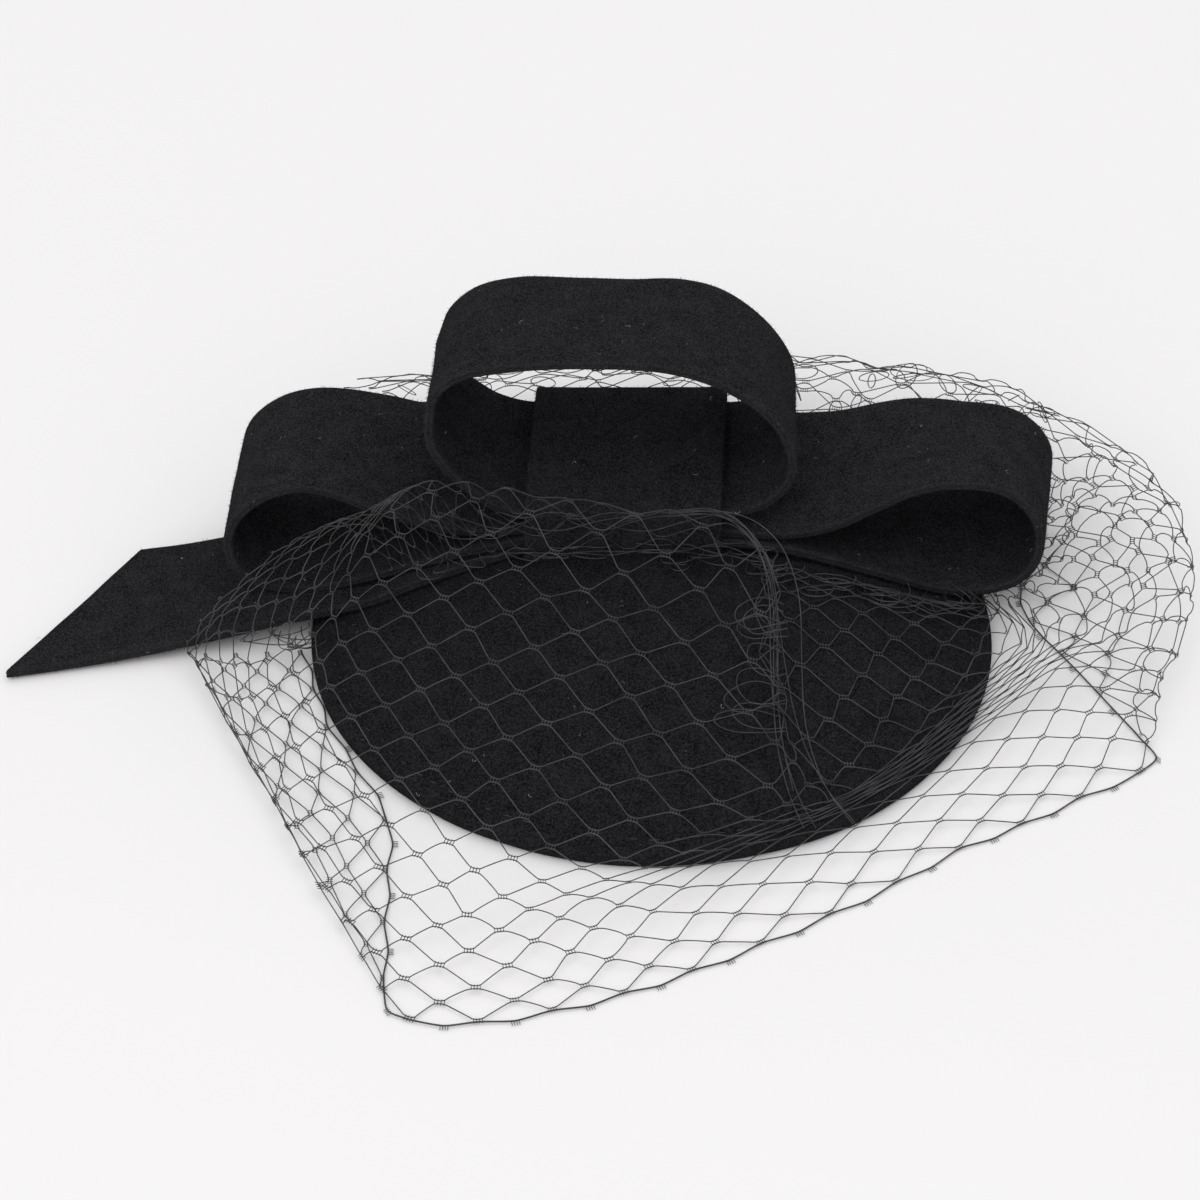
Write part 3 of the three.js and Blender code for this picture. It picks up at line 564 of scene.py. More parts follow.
class Recipe(Tree):
    """A Geometry Nodes tree with named inputs, built node by node and then baked into a mesh."""

    def __init__(self, name, **inputs):
        super().__init__(bpy.data.node_groups.new(name, "GeometryNodeTree"))
        face = self.tree.interface
        for way in ("INPUT", "OUTPUT"):
            face.new_socket("Geometry", in_out=way, socket_type="NodeSocketGeometry")
        self.values = {}
        for key, value in inputs.items():
            kind = "NodeSocketInt" if isinstance(value, int) else "NodeSocketFloat"
            socket = face.new_socket(key, in_out="INPUT", socket_type=kind)
            self.values[socket.identifier] = value
        self.start = self.add("NodeGroupInput")
        self.end = self.add("NodeGroupOutput")

    def __getitem__(self, key):
        return self.start.outputs[key]

    def attribute(self, name, kind="FLOAT"):
        return self.add("GeometryNodeInputNamedAttribute", {"data_type": kind}, Name=name)

    def random(self, low, high, seed):
        """A number, or a vector if the limits are vectors, drawn for each point."""
        kind = "FLOAT_VECTOR" if isinstance(low, tuple) else "FLOAT"
        node = self.add("FunctionNodeRandomValue", {"data_type": kind}, Seed=seed)
        for name, value in (("Min", low), ("Max", high)):
            next(s for s in node.inputs if s.name == name and s.enabled).default_value = value
        return next(s for s in node.outputs if s.enabled)

    def vector(self, operation, first, second):
        node = self.add("ShaderNodeVectorMath", {"operation": operation})
        self.fill(node, 0, first)
        self.fill(node, "Scale" if operation == "SCALE" else 1, second)
        return node

    def scatter(self, density):
        """Points over the source's faces, and the way that each face looks."""
        node = self.add("GeometryNodeDistributePointsOnFaces", {"distribute_method": "RANDOM"},
                        Mesh=self["Geometry"], Density=density, Seed=self["Seed"])
        return node, node.outputs["Normal"]

    def copies(self, points, shape, axis, way, spin, size):
        """A copy of the shape on every point, its axis laid along the way, then spun."""
        rise = self.add("FunctionNodeAlignRotationToVector", {"axis": axis}, Vector=way)
        turn = self.add("FunctionNodeRotateRotation", {"rotation_space": "LOCAL"}, Rotation=rise,
                        Rotate_By=spin)
        return self.add("GeometryNodeInstanceOnPoints", Points=points, Instance=shape,
                        Rotation=turn, Scale=size)

    def close(self, geometry, material):
        """End the tree: instances made real, then the material."""
        real = self.add("GeometryNodeRealizeInstances", Geometry=geometry)
        smooth = self.add("GeometryNodeSetShadeSmooth", Geometry=real)
        coat = self.add("GeometryNodeSetMaterial", Geometry=smooth, Material=material)
        self.fill(self.end, 0, coat)

    def bake(self, source, name, keep=False):
        """Run the tree on the source object, and give its result as a plain mesh object."""
        modifier = source.modifiers.new("recipe", "NODES")
        modifier.node_group = self.tree
        for key, value in self.values.items():
            modifier[key] = value
        mesh = finished_mesh(source)
        source.modifiers.remove(modifier)
        if not keep:
            bpy.data.objects.remove(source)
        mesh.name = name
        return new_object(name, mesh)


# ---- materials
def nap_effect():
    """Felt surface: matted fibres, cloudy shade and specks of lint; its thin fibre lines are partly
    grain and partly painted highlight.
    """
    nap = Effect("felt_nap", ("Grain", "Lint"), ("Shade", "Fleck", "Height"))
    matted = nap.noise(nap.inputs["Grain"], 2.0, Roughness=0.7, Distortion=0.8)
    clouds = nap.noise(130.0, 4.0, Roughness=0.6)
    strands = []
    for share, distortion in ((0.42, 2.4), (0.75, 1.6)):
        scale = nap.number("MULTIPLY", nap.inputs["Grain"], share)
        fibres = nap.noise(scale, 0.0, Distortion=distortion)
        off_middle = nap.number("ABSOLUTE", nap.number("SUBTRACT", fibres, 0.5))
        strands.append(nap.number("SUBTRACT", 1.0, nap.ramp(off_middle, 0.0, 0.045)))
    fibre_grain_and_glint = nap.number("MULTIPLY", nap.number("ADD", *strands), 0.5)

    shade = nap.number("MULTIPLY", nap.ramp(matted, 0.4, 0.62), 0.5)
    # The fibre lines lighten the shade: partly the felt's grain, partly a painted highlight of
    # fibres catching the light.
    shade = nap.number("ADD", shade, nap.number("MULTIPLY", fibre_grain_and_glint, 0.32))
    cloudy = nap.number("MULTIPLY", nap.ramp(clouds, 0.32, 0.68), 0.12)
    nap.fill(nap.end, "Shade", nap.number("ADD", shade, cloudy))

    place = nap.add("ShaderNodeTexCoord").outputs["Object"]
    cells = nap.add("ShaderNodeTexVoronoi", Vector=place, Scale=120.0)
    speck = nap.number("SUBTRACT", 1.0, nap.ramp(cells, 0.012, 0.035))
    chance = nap.add("ShaderNodeSeparateColor", Color=cells.outputs["Color"])
    kept = nap.number("LESS_THAN", chance, nap.inputs["Lint"])
    nap.fill(nap.end, "Fleck", nap.number("MULTIPLY", speck, kept))

    height = nap.number("MULTIPLY", matted, 0.65)
    height = nap.number("ADD", height, nap.number("MULTIPLY", fibre_grain_and_glint, 0.35))
    nap.fill(nap.end, "Height", height)
    return nap.tree


def twist_effect():
    """Twist of a thread: fine unevenness, and a slow change of shade from place to place."""
    twist = Effect("thread_twist", ("Pitch",), ("Shade", "Height"))
    twist.fill(twist.end, "Shade", twist.ramp(twist.noise(120.0, 2.0), 0.3, 0.7))
    twist.fill(twist.end, "Height", twist.noise(twist.inputs["Pitch"], 2.0, Roughness=0.6))
    return twist.tree


def shaded(colour, share):
    """The colour made darker or lighter by that share."""
    return (*[share * c for c in colour], 1.0)


def grey(level):
    return (level, level, level, 1.0)


def paint_felt(name, colour, grain):
    """Black wool felt: dull, slightly bluish, lighter on the cut edge, with pale lint."""
    paint = Paint(name, Roughness=0.95, Specular_IOR_Level=0.0, Sheen_Weight=0.012,
                  Sheen_Roughness=0.4, Sheen_Tint=(0.62, 0.66, 0.8, 1.0))
    nap = paint.effect("felt_nap", nap_effect, Grain=grain, Lint=0.4)
    # The nap's shade holds the grain and the painted highlight of its fibre lines.
    base = paint.mix(nap["Shade"], shaded(colour, 0.22), shaded(colour, 2.7))
    edge = paint.add("ShaderNodeAttribute", {"attribute_name": "cut_edge"}).outputs["Fac"]
    base = paint.mix(paint.number("MULTIPLY", edge, 0.3), base, shaded(colour, 1.9))
    paint.set(Base_Color=paint.mix(nap["Fleck"], base, grey(0.16)))
    paint.bump(nap["Height"], 0.8, 0.0005)
    return paint.material


def paint_thread(name, colour, roughness, light):
    """Twisted thread with a slow change of shade."""
    paint = Paint(name, Roughness=roughness, Specular_IOR_Level=0.6)
    twist = paint.effect("thread_twist", twist_effect, Pitch=3500.0)
    paint.set(Base_Color=paint.mix(twist["Shade"], shaded(colour, 0.7), shaded(colour, light)))
    paint.bump(twist["Height"], 0.25, 0.00008)
    return paint.material


def paint_mottled(name, noise, steps, colours, **inputs):
    """A surface that changes between two colours from place to place."""
    paint = Paint(name, **inputs)
    change = paint.noise(*noise)
    paint.set(Base_Color=paint.mix(paint.ramp(change, *steps) if steps else change, *colours))
    return paint, change


def paint_comb(colour):
    """Moulded plastic with faint scuffs."""
    paint, scuffs = paint_mottled("moulded_plastic", (700.0, 4.0), (0.5, 0.8),
                                  (shaded(colour, 1.0), shaded(colour, 2.2)))
    paint.set(Roughness=paint.number("MULTIPLY_ADD", paint.ramp(scuffs, 0.2, 0.8), 0.25))
    paint.bump(scuffs, 0.2, 0.0001)
    return paint.material


def finish(name):
    """The material of that name, made on its first use."""
    found = bpy.data.materials.get(name)
    if found:
        return found
    colours = bpy.context.scene.fascinator_colours
    if name == "saucer_wool":
        return paint_felt(name, colours.saucer, 1600.0)
    if name == "ribbon_wool":
        # The bow's felt takes the lighter colour, which holds painted sheen.
        return paint_felt(name, colours.ribbon, 1750.0)
    if name == "wool_fibre":
        tones = (shaded(colours.ribbon, 1.2), shaded(colours.ribbon, 5.0))
        return paint_mottled(name, (600.0, 1.0), (0.45, 0.8), tones, Roughness=0.8,
                             Specular_IOR_Level=0.2)[0].material
    if name == "pale_lint":
        return paint_mottled(name, (90.0, 1.0), (0.35, 0.65), (grey(0.09), grey(0.42)),
                             Roughness=0.75)[0].material
    if name == "net_thread":
        return paint_thread(name, colours.net, 0.4, 3.4)
    if name == "sewing_thread":
        return paint_thread(name, colours.net, 0.6, 1.2)
    if name == "moulded_plastic":
        return paint_comb(colours.comb)
    if name == "pale_floor":
        tones = (shaded(colours.floor, 0.985), shaded(colours.floor, 1.0))
        return paint_mottled(name, (3.0, 2.0), None, tones, Roughness=0.7,
                             Specular_IOR_Level=0.1)[0].material
    raise RuntimeError(f"no material is described for {name}")


# ---- felt strips
def section_places(width):
    """Closed outline of a felt strip's cross-section, with rounded cut edges and a groove where
    its two layers meet: place across it, depth below its outside face, share of cut edge, and
    share of loose fibres."""
    middle = FELT / 2
    corner = [(EDGE_ROUND - EDGE_ROUND * math.sin(a), EDGE_ROUND - EDGE_ROUND * math.cos(a),
               0.4 + 0.6 * math.sin(a)) for a in quarter_turn(EDGE_STEPS)]
    edge = corner + [(0.0, middle - GROOVE_HALF, 1.0), (LAYER_GROOVE, middle, 0.6),
                     (0.0, middle + GROOVE_HALF, 1.0)]
    edge += [(inset, FELT - depth, cut) for inset, depth, cut in reversed(corner)]
    across = np.linspace(EDGE_ROUND, width - EDGE_ROUND, RIBBON_COLUMNS)
    outline = [(w, 0.0, 0.0) for w in across[:-1]]
    outline += [(width - inset, depth, cut) for inset, depth, cut in edge]
    outline += [(w, FELT, 0.0) for w in across[-2:0:-1]] + edge[:0:-1]
    outline = np.array(outline)
    return np.column_stack([outline, np.where(outline[:, 1] > middle, INSIDE_NAP, 1.0)])


def strip_width(front, back):
    return float(np.linalg.norm(back - front, axis=1).max())


def felt_strip(name, front, back, ring):
    """Closed felt strip between two edge lines of its outside face, in mm, made in metres.

    The outside is on the side of the cross product of the way along and the way across."""
    width = strip_width(front, back)
    outline = section_places(width)
    middle = (front + back) / 2
    if ring:
        along = np.roll(middle, -1, axis=0) - np.roll(middle, 1, axis=0)
    else:
        along = np.gradient(middle, axis=0)
    across = back - front
    normal = unit(np.cross(along, across))[:, None, :]
    points = front[:, None, :] + across[:, None, :] * (outline[:, 0] / width)[None, :, None]
    points = points - normal * outline[None, :, 1, None]
    offsets = np.array([[noise.noise(Vector(p) * WAVER_WIDE)
                         + FINE_SHARE * noise.noise(Vector(p) * WAVER_FINE) for p in line]
                        for line in points])
    waver = bpy.context.scene.fascinator_bow.waver
    points = points + normal * offsets[..., None] * waver / MM
    points[..., 2] = np.maximum(points[..., 2], FELT_LIFT)
    rows, columns = points.shape[:2]
    faces = []
    for i in range(rows if ring else rows - 1):
        here, after = i * columns, (i + 1) % rows * columns
        for j in range(columns):
            beside = (j + 1) % columns
            faces.append((here + j, after + j, after + beside, here + beside))
    if not ring:
        faces.append(tuple(range(columns)))
        faces.append(tuple(range(rows * columns - 1, (rows - 1) * columns - 1, -1)))
    piece = mesh_piece(name, points.reshape(-1, 3) * MM, faces, finish("ribbon_wool"))
    store(piece.data, "cut_edge", np.tile(outline[:, 2], rows))
    store(piece.data, "fibres", np.tile(outline[:, 3], rows))
    return piece


def loop_edges(rows, ring, width):
    """Front and back edge lines of a ribbon loop's outside face."""
    row = fine_rows(rows, ring)
    front_y = RIBBON_FRONT_Y + RIBBON_LEAN * (row.z - RIBBON_FRONT_Z)
    depth = np.sqrt(width ** 2 - row.lean_x ** 2 - row.lean_z ** 2)
    front = np.stack([row.x, front_y, row.z], axis=1)
    return front, front + np.stack([row.lean_x, depth, row.lean_z], axis=1)


def lay_strip(name, node, front, back, held, rests_on, ring=False):
    piece = felt_strip(name, front, back, ring)
    settle(piece, "ribbon_felt", node)
    middle = (front + back) / 2
    if ring:
        middle = np.vstack([middle, middle[:1]])


# ---- saucer
def saucer_profile(settings):
    """Radius, height and share of cut edge round the saucer's wall, in mm, from the middle of its
    outside over the rim and back to the middle of its inside."""
    radius, rise, wall = settings.radius / MM, settings.rise / MM, settings.wall / MM
    hem_radius = radius - settings.hem_width / MM
    stitch_radius = radius - settings.stitch_inset / MM
    rows = []
    brim = np.linspace(BRIM_START, radius - HEM_TUCK, BRIM_RINGS)
    for r in np.concatenate([np.linspace(*CROWN_RINGS), brim]):
        dent = STITCH_DENT * math.exp(-((r - stitch_radius) / STITCH_SPREAD) ** 2)
        rows.append((r, float(saucer_top(r, 0, radius, rise)) - dent, 0.0))
    half = rows[-1][1] / 2
    rows += [(radius - HEM_TUCK + HEM_TUCK * math.sin(a), half + half * math.cos(a), 0.3)
             for a in quarter_turn(6)[1:]]
    rows += [(radius - HEM_TURN + HEM_TURN * math.cos(a), half * (1 - math.sin(a)), 0.3)
             for a in quarter_turn(5)[1:]]
    rows += [(r, 0.0, 0.2) for r in np.linspace(radius - 2.4, hem_radius + 0.5, HEM_RINGS)]
    rows += [(hem_radius, 0.35, 0.9), (hem_radius - 0.1, HEM_RAW_EDGE, 0.9)]
    rows += [(r, max(rise * (1 - (r / radius) ** 2) - wall, LEAST_ROOF), 0.0)
             for r in np.linspace(hem_radius - 0.5, 0, ROOF_RINGS)]
    return rows


def build_saucer(settings):
    """The saucer turned from its profile, a little uneven as pressed felt is."""
    rows = saucer_profile(settings)
    points = [(0.0, 0.0, rows[0][1])]
    for r, z, _ in rows[1:-1]:
        rim = (r / (settings.radius / MM)) ** 4
        for a in np.arange(SAUCER_TURNS) * 2 * math.pi / SAUCER_TURNS:
            way = Vector((math.cos(a), math.sin(a), 0.0))
            wave = RIM_WAVE * noise.noise(way * RIM_WAVES) * rim
            place = Vector((r * math.cos(a), r * math.sin(a), z))
            puff = DOME_PUFF * noise.noise(place * DOME_PUFFS) if z > 0.05 else 0.0
            points.append(((r + wave) * math.cos(a), (r + wave) * math.sin(a),
                           max(z + puff, 0.0)))
    points.append((0.0, 0.0, rows[-1][1]))
    rings = len(rows) - 2
    last = 1 + (rings - 1) * SAUCER_TURNS
    faces = []
    for j in range(SAUCER_TURNS):
        beside = (j + 1) % SAUCER_TURNS
        faces.append((0, 1 + j, 1 + beside))
        for a in range(1, last, SAUCER_TURNS):
            b = a + SAUCER_TURNS
            faces.append((a + j, b + j, b + beside, a + beside))
        faces.append((last + j, len(points) - 1, last + beside))
    piece = mesh_piece("saucer_felt", np.array(points) * MM, faces, finish("saucer_wool"))
    cuts = np.repeat([cut for _, _, cut in rows[1:-1]], SAUCER_TURNS)
    store(piece.data, "cut_edge", [0.0, *cuts, 0.0])
    store(piece.data, "fibres", [UNDER_NAP if z < UNDERSIDE or index > len(points) // 2 else 1.0
                                 for index, (_, _, z) in enumerate(points)])
    return piece


class FASCINATOR_OT_saucer(bpy.types.Operator):
    """Press the round felt saucer with its folded hem"""

    bl_idname = "fascinator.make_saucer"
    bl_label = "Saucer"

    def execute(self, context):
        settle(build_saucer(context.scene.fascinator_saucer), "saucer_felt", "base")
        return {"FINISHED"}


class FASCINATOR_OT_hem_stitches(bpy.types.Operator):
    """Sew the row of hand stitches round the saucer's hem"""

    bl_idname = "fascinator.sew_hem"
    bl_label = "Hem stitches"

    def execute(self, context):
        settings = context.scene.fascinator_saucer
        radius = settings.radius - settings.stitch_inset
        top = saucer_top(radius / MM, 0, settings.radius / MM, settings.rise / MM)
        recipe = Recipe("hem_stitches", Count=settings.stitch_count, Radius=radius,
                        Height=(float(top) - STITCH_SINK) * MM, Stray=STITCH_STRAY * MM, Seed=5)
        ring = recipe.add("GeometryNodeMeshCircle", Vertices=recipe["Count"],
                          Radius=recipe["Radius"])
        stray = recipe.random((-1.0, -1.0, -0.25), (1.0, 1.0, 0.15), recipe["Seed"])
        offset = recipe.vector("ADD", recipe.vector("SCALE", stray, recipe["Stray"]),
                               recipe.add("ShaderNodeCombineXYZ", Z=recipe["Height"]))
        places = recipe.add("GeometryNodeSetPosition", Geometry=ring, Offset=offset)
        stitch = recipe.add("GeometryNodeMeshUVSphere", Segments=8, Rings=6, Radius=0.5)
        spin = recipe.random((0.0, 0.0, -0.22), (0.0, 0.0, 0.22), 11)
        size = recipe.random((0.0004, 0.0022, 0.0004), (0.00055, 0.0042, 0.0005), 17)
        outward = recipe.add("GeometryNodeInputPosition")
        sewn = recipe.copies(places, stitch, "X", outward, spin, size)
        recipe.close(sewn, finish("sewing_thread"))
        source = new_object("stitch_source", bpy.data.meshes.new("stitch_source"))
        settle(recipe.bake(source, "hem_stitches"), "saucer_felt")
        return {"FINISHED"}


# ---- bow
class FASCINATOR_OT_bow(bpy.types.Operator):
    """Fold the three felt loops of the bow"""

    bl_idname = "fascinator.make_bow"
    bl_label = "Bow loops"

    def execute(self, context):
        width = context.scene.fascinator_bow.ribbon_width / MM
        for node, rows, ring, below in (("left_loop", LEFT_LOOP, False, "tail"),
                                        ("right_loop", RIGHT_LOOP, False, "base"),
                                        ("top_loop", TOP_LOOP, True, "centre_knot")):
            front, back = loop_edges(rows, ring, width)
            lay_strip(f"{node}_felt", node, front, back, "folded", [below], ring)
        return {"FINISHED"}


class FASCINATOR_OT_tail(bpy.types.Operator):
    """Lay the loose tail with its slanted end"""

    bl_idname = "fascinator.make_tail"
    bl_label = "Tail"

    def execute(self, context):
        width = context.scene.fascinator_bow.ribbon_width
        row = fine_rows(TAIL)
        forward = np.array([-math.cos(TAIL_ANGLE), -math.sin(TAIL_ANGLE), 0.0])
        sideways = np.array([-math.sin(TAIL_ANGLE), math.cos(TAIL_ANGLE), 0.0])
        up = np.array([0.0, 0.0, 1.0])
        depth = np.sqrt((width / MM) ** 2 - row.lean_z ** 2)
        root = np.array(TAIL_ROOT)
        front = root + row.run[:, None] * forward + row.z[:, None] * up
        back = (root + row.back_run[:, None] * forward + depth[:, None] * sideways
                + (row.z + row.lean_z)[:, None] * up)
        piece = felt_strip("tail_felt", front, back, False)
        soften_edges(piece, width=0.0008, segments=2, limit_method="ANGLE",
                     angle_limit=math.radians(60))
        settle(piece, "ribbon_felt", "tail")
        return {"FINISHED"}


class FASCINATOR_OT_knot(bpy.types.Operator):
    """Wrap the felt band over the bow's middle"""

    bl_idname = "fascinator.make_knot"
    bl_label = "Centre knot"

    def execute(self, context):
        saucer = context.scene.fascinator_saucer
        half = context.scene.fascinator_bow.knot_width / MM / 2
        edges = []
        for foot_x in (KNOT_CENTRE_X + half, KNOT_CENTRE_X - half):
            line = []
            for row in KNOT:
                x = foot_x + KNOT_SKEW * row.y
                dome = float(saucer_top(x, row.y, saucer.radius / MM, saucer.rise / MM))
                line.append((x, row.y, dome + row.clear if row.clear > 0 else row.z))
            edges.append(fine(line))
        lay_strip("knot_felt", "centre_knot", *edges, "folded", ["top_loop", "base"])
        return {"FINISHED"}


# ---- nap
def grow(recipe, density, shape, material, lean, size):
    """Stand a copy of the shape on every point of the felt, leaning and turned at random."""
    points, outward = recipe.scatter(density)
    way = recipe.vector("ADD", outward, recipe.random((-lean,) * 3, (lean,) * 3, 3))
    spin = recipe.random((0.0, 0.0, 0.0), (0.0, 0.0, 2 * math.pi), 4)
    grown = recipe.copies(points, shape, "Z", way, spin, recipe.random(*size, 6))
    recipe.close(grown, finish(material))
    return recipe


def nap_recipe(settings, seed):
    """Loose fibres scattered over a felt piece, thick along its cut edges."""
    recipe = Recipe("loose_fibres", Faces=settings.face_density, Edges=settings.edge_density,
                    Length=settings.length, Thickness=settings.thickness, Seed=seed)
    edge = recipe.number("POWER", recipe.attribute("cut_edge"), 2.0)
    density = recipe.number("ADD", recipe.number("MULTIPLY", edge, recipe["Edges"]),
                            recipe["Faces"])
    density = recipe.number("MULTIPLY", density, recipe.attribute("fibres"))
    half = recipe.number("MULTIPLY", recipe["Thickness"], 0.5)
    fibre = recipe.add("GeometryNodeMeshCone", {"fill_type": "NGON"}, Vertices=3, Side_Segments=1,
                       Radius_Top=0.0, Radius_Bottom=half, Depth=recipe["Length"])
    return grow(recipe, density, fibre, "wool_fibre", lean=0.95, size=(0.4, 1.3))


def curl_recipe(settings, seed):
    """A few longer curled hairs and bits of lint, lying on a felt piece."""
    recipe = Recipe("curled_hairs", Density=settings.curl_density, Length=settings.curl_length,
                    Thickness=settings.thickness, Seed=seed)
    arc = recipe.add("GeometryNodeCurveArc", Resolution=9, Sweep_Angle=2.6,
                     Radius=recipe.number("MULTIPLY", recipe["Length"], 0.28))
    wave = recipe.noise(900.0, 0.0, Vector=recipe.add("GeometryNodeInputPosition"))
    bend = recipe.vector("SCALE", wave.outputs["Color"],
                         recipe.number("MULTIPLY", recipe["Length"], 0.6))
    bent = recipe.add("GeometryNodeSetPosition", Geometry=arc, Offset=bend)
    hair = tube(recipe, bent, 3)
    return grow(recipe, recipe["Density"], hair, "pale_lint", lean=0.5,
                size=((0.4, 0.4, 0.4), (1.5, 1.2, 1.0)))


def tube(recipe, path, sides):
    """Round section swept along a path, as thick as the recipe's Thickness."""
    half = recipe.number("MULTIPLY", recipe["Thickness"], 0.5)
    section = recipe.add("GeometryNodeCurvePrimitiveCircle", Resolution=sides, Radius=half)
    return recipe.add("GeometryNodeCurveToMesh", Curve=path, Profile_Curve=section,
                      Fill_Caps=True)


class FASCINATOR_OT_nap(bpy.types.Operator):
    """Raise the loose fibres of every felt piece, and scatter curled hairs over it"""

    bl_idname = "fascinator.raise_nap"
    bl_label = "Felt nap"

    def execute(self, context):
        settings = context.scene.fascinator_nap
        felts = ("saucer", "left_loop", "right_loop", "top_loop", "tail", "knot")
        for seed, name in enumerate(felts):
            source = bpy.data.objects[f"{name}_felt"]
            slot = "saucer_felt" if name == "saucer" else "ribbon_felt"
            for recipe, ending in ((nap_recipe(settings, seed + 1), "nap"),
                                   (curl_recipe(settings, seed + 31), "hairs")):
                piece = recipe.bake(source, f"{name}_{ending}", keep=True)
                press_down(piece)
                settle(piece, slot)
        return {"FINISHED"}


# ---- veil
Net = namedtuple("Net", "places along upward normal size crumple")


def soften(values, reach, axis):
    """Values smoothed along an axis with a bell-shaped window reaching that far each way."""
    window = np.exp(-0.5 * (np.arange(-2 * reach, 2 * reach + 1) / max(reach, 1)) ** 2)
    window = window / window.sum()
    ends = [(0, 0)] * values.ndim
    ends[axis] = (2 * reach, 2 * reach)
    padded = np.pad(values, ends, mode="reflect", reflect_type="odd")
    return np.apply_along_axis(lambda line: np.convolve(line, window, mode="valid"), axis, padded)


def drape_net(settings):
    """Places of the net's nodes, half a cell apart both ways, the ways along, upward and outward
    there, the room that a cell has, and how much the net is crumpled."""
    marks = [section.column for section in VEIL]
    columns = marks[0] + np.arange((marks[-1] - marks[0]) * NET_FINE + 1) / NET_FINE
    rows = np.arange(NET_ROWS * NET_FINE + 1) / NET_FINE
    lines = []
    for section in VEIL:
        row, *place = np.array(section.turns, float).T
        lines.append(np.stack([np.interp(rows, row, values) for values in place], axis=1))
    surface = np.apply_along_axis(lambda line: np.interp(columns, marks, line), 0, np.array(lines))
    surface = soften(soften(surface, settings.softness, 1), settings.softness, 0)
    surface = above_saucer(surface.reshape(-1, 3), NET_REST).reshape(surface.shape)
    places = surface[::NET_FINE // 2, ::NET_FINE // 2]
    draw = np.random.RandomState(STRAY_SEED)
    along, upward = np.gradient(places, axis=0), np.gradient(places, axis=1)
    normal = unit(np.cross(along, upward))
    size = np.minimum(np.linalg.norm(along, axis=2), np.linalg.norm(upward, axis=2))
    along, upward = unit(along), unit(upward)
    crumple = np.interp(columns[::NET_FINE // 2], *zip(*STRAY))
    stray = crumple[:, None] * size
    stray[:, 0] = 0.0
    shift = draw.uniform(-1, 1, places.shape) * stray[..., None]
    places = (places + along * shift[..., :1] + upward * shift[..., 1:2]
              + normal * shift[..., 2:] * 0.9)
    return Net(places, along, upward, normal, size, crumple)


def sweep(name, lines, thickness, sides):
    """Thread of round section swept along every line."""
    recipe = Recipe("thread_sweep", Thickness=thickness, Sides=sides)
    paths = recipe.add("GeometryNodeMeshToCurve", Mesh=recipe["Geometry"])
    recipe.close(tube(recipe, paths, recipe["Sides"]), finish("net_thread"))
    points, edges = [], []
    for line in lines:
        start = len(points)
        points += list(line * MM)
        edges += [(k, k + 1) for k in range(start, len(points) - 1)]
    path = bare_mesh(f"{name}_path", points, edges)
    return recipe.bake(new_object(path.name, path), name)


def net_strands(net, settings):
    """Zigzag threads of the net.  Each runs between two rows of nodes and lies beside its
    neighbour at every node.  Thread that is slack between two nodes bows outward."""
    draw = np.random.RandomState(BOW_SEED)
    full = settings.cell_side / MM
    lines = []
    for k in range(net.places.shape[1] - 1):
        line = []
        for i in range(net.places.shape[0]):
            row, side = (k, 1) if (i + k) % 2 == 0 else (k + 1, -1)
            along, normal, size = net.along[i, row], net.normal[i, row], net.size[i, row]
            reach = min(settings.knot_length / MM / 2, KNOT_REACH[1] * size + KNOT_REACH[0])
            least, share, most = THREAD_APART
            beside = net.upward[i, row] * (min(most, share * size + least) * side)
            start = net.places[i, row] - along * reach + beside
            if line:
                end_before = line[-1]
                span = np.linalg.norm(start - end_before)
                slack = math.sqrt(max((full - 2 * reach) ** 2 - span ** 2, 0.0))
                way = normal * (1 if normal[2] > -0.2 else -1)
                way = unit(way + draw.uniform(-BOW_STRAY, BOW_STRAY, 3))
                way = way * (max(slack - NET_TIGHT, 0.0) * settings.slack * net.crumple[i]
                             * draw.uniform(*BOW_SIZES))
                line += [end_before * (1 - BEND) + start * BEND + way,
                         end_before * BEND + start * (1 - BEND) + way]
            line += [start, net.places[i, row] + along * reach + beside]
        lines.append(above_saucer(rounded(line, 1), THREAD_CLEAR))
    return lines


def hem_line(net):
    """Cord along the hem: in at each node of the first row, out between them."""
    line = []
    for i, (place, along, upward) in enumerate(zip(*(part[:, 0] for part in net[:3]))):
        away = HEM_IN if i % 2 == 0 else HEM_OUT
        if TAUT_HEM[0] < VEIL[0].column + i / 2 < TAUT_HEM[1]:
            away = HEM_TAUT
        point = place - upward * away
        line += [point - along * HEM_HALF, point + along * HEM_HALF]
    line = rounded(line, 2)
    line[:, 2] = np.maximum(line[:, 2], HEM_LIFT)
    return line


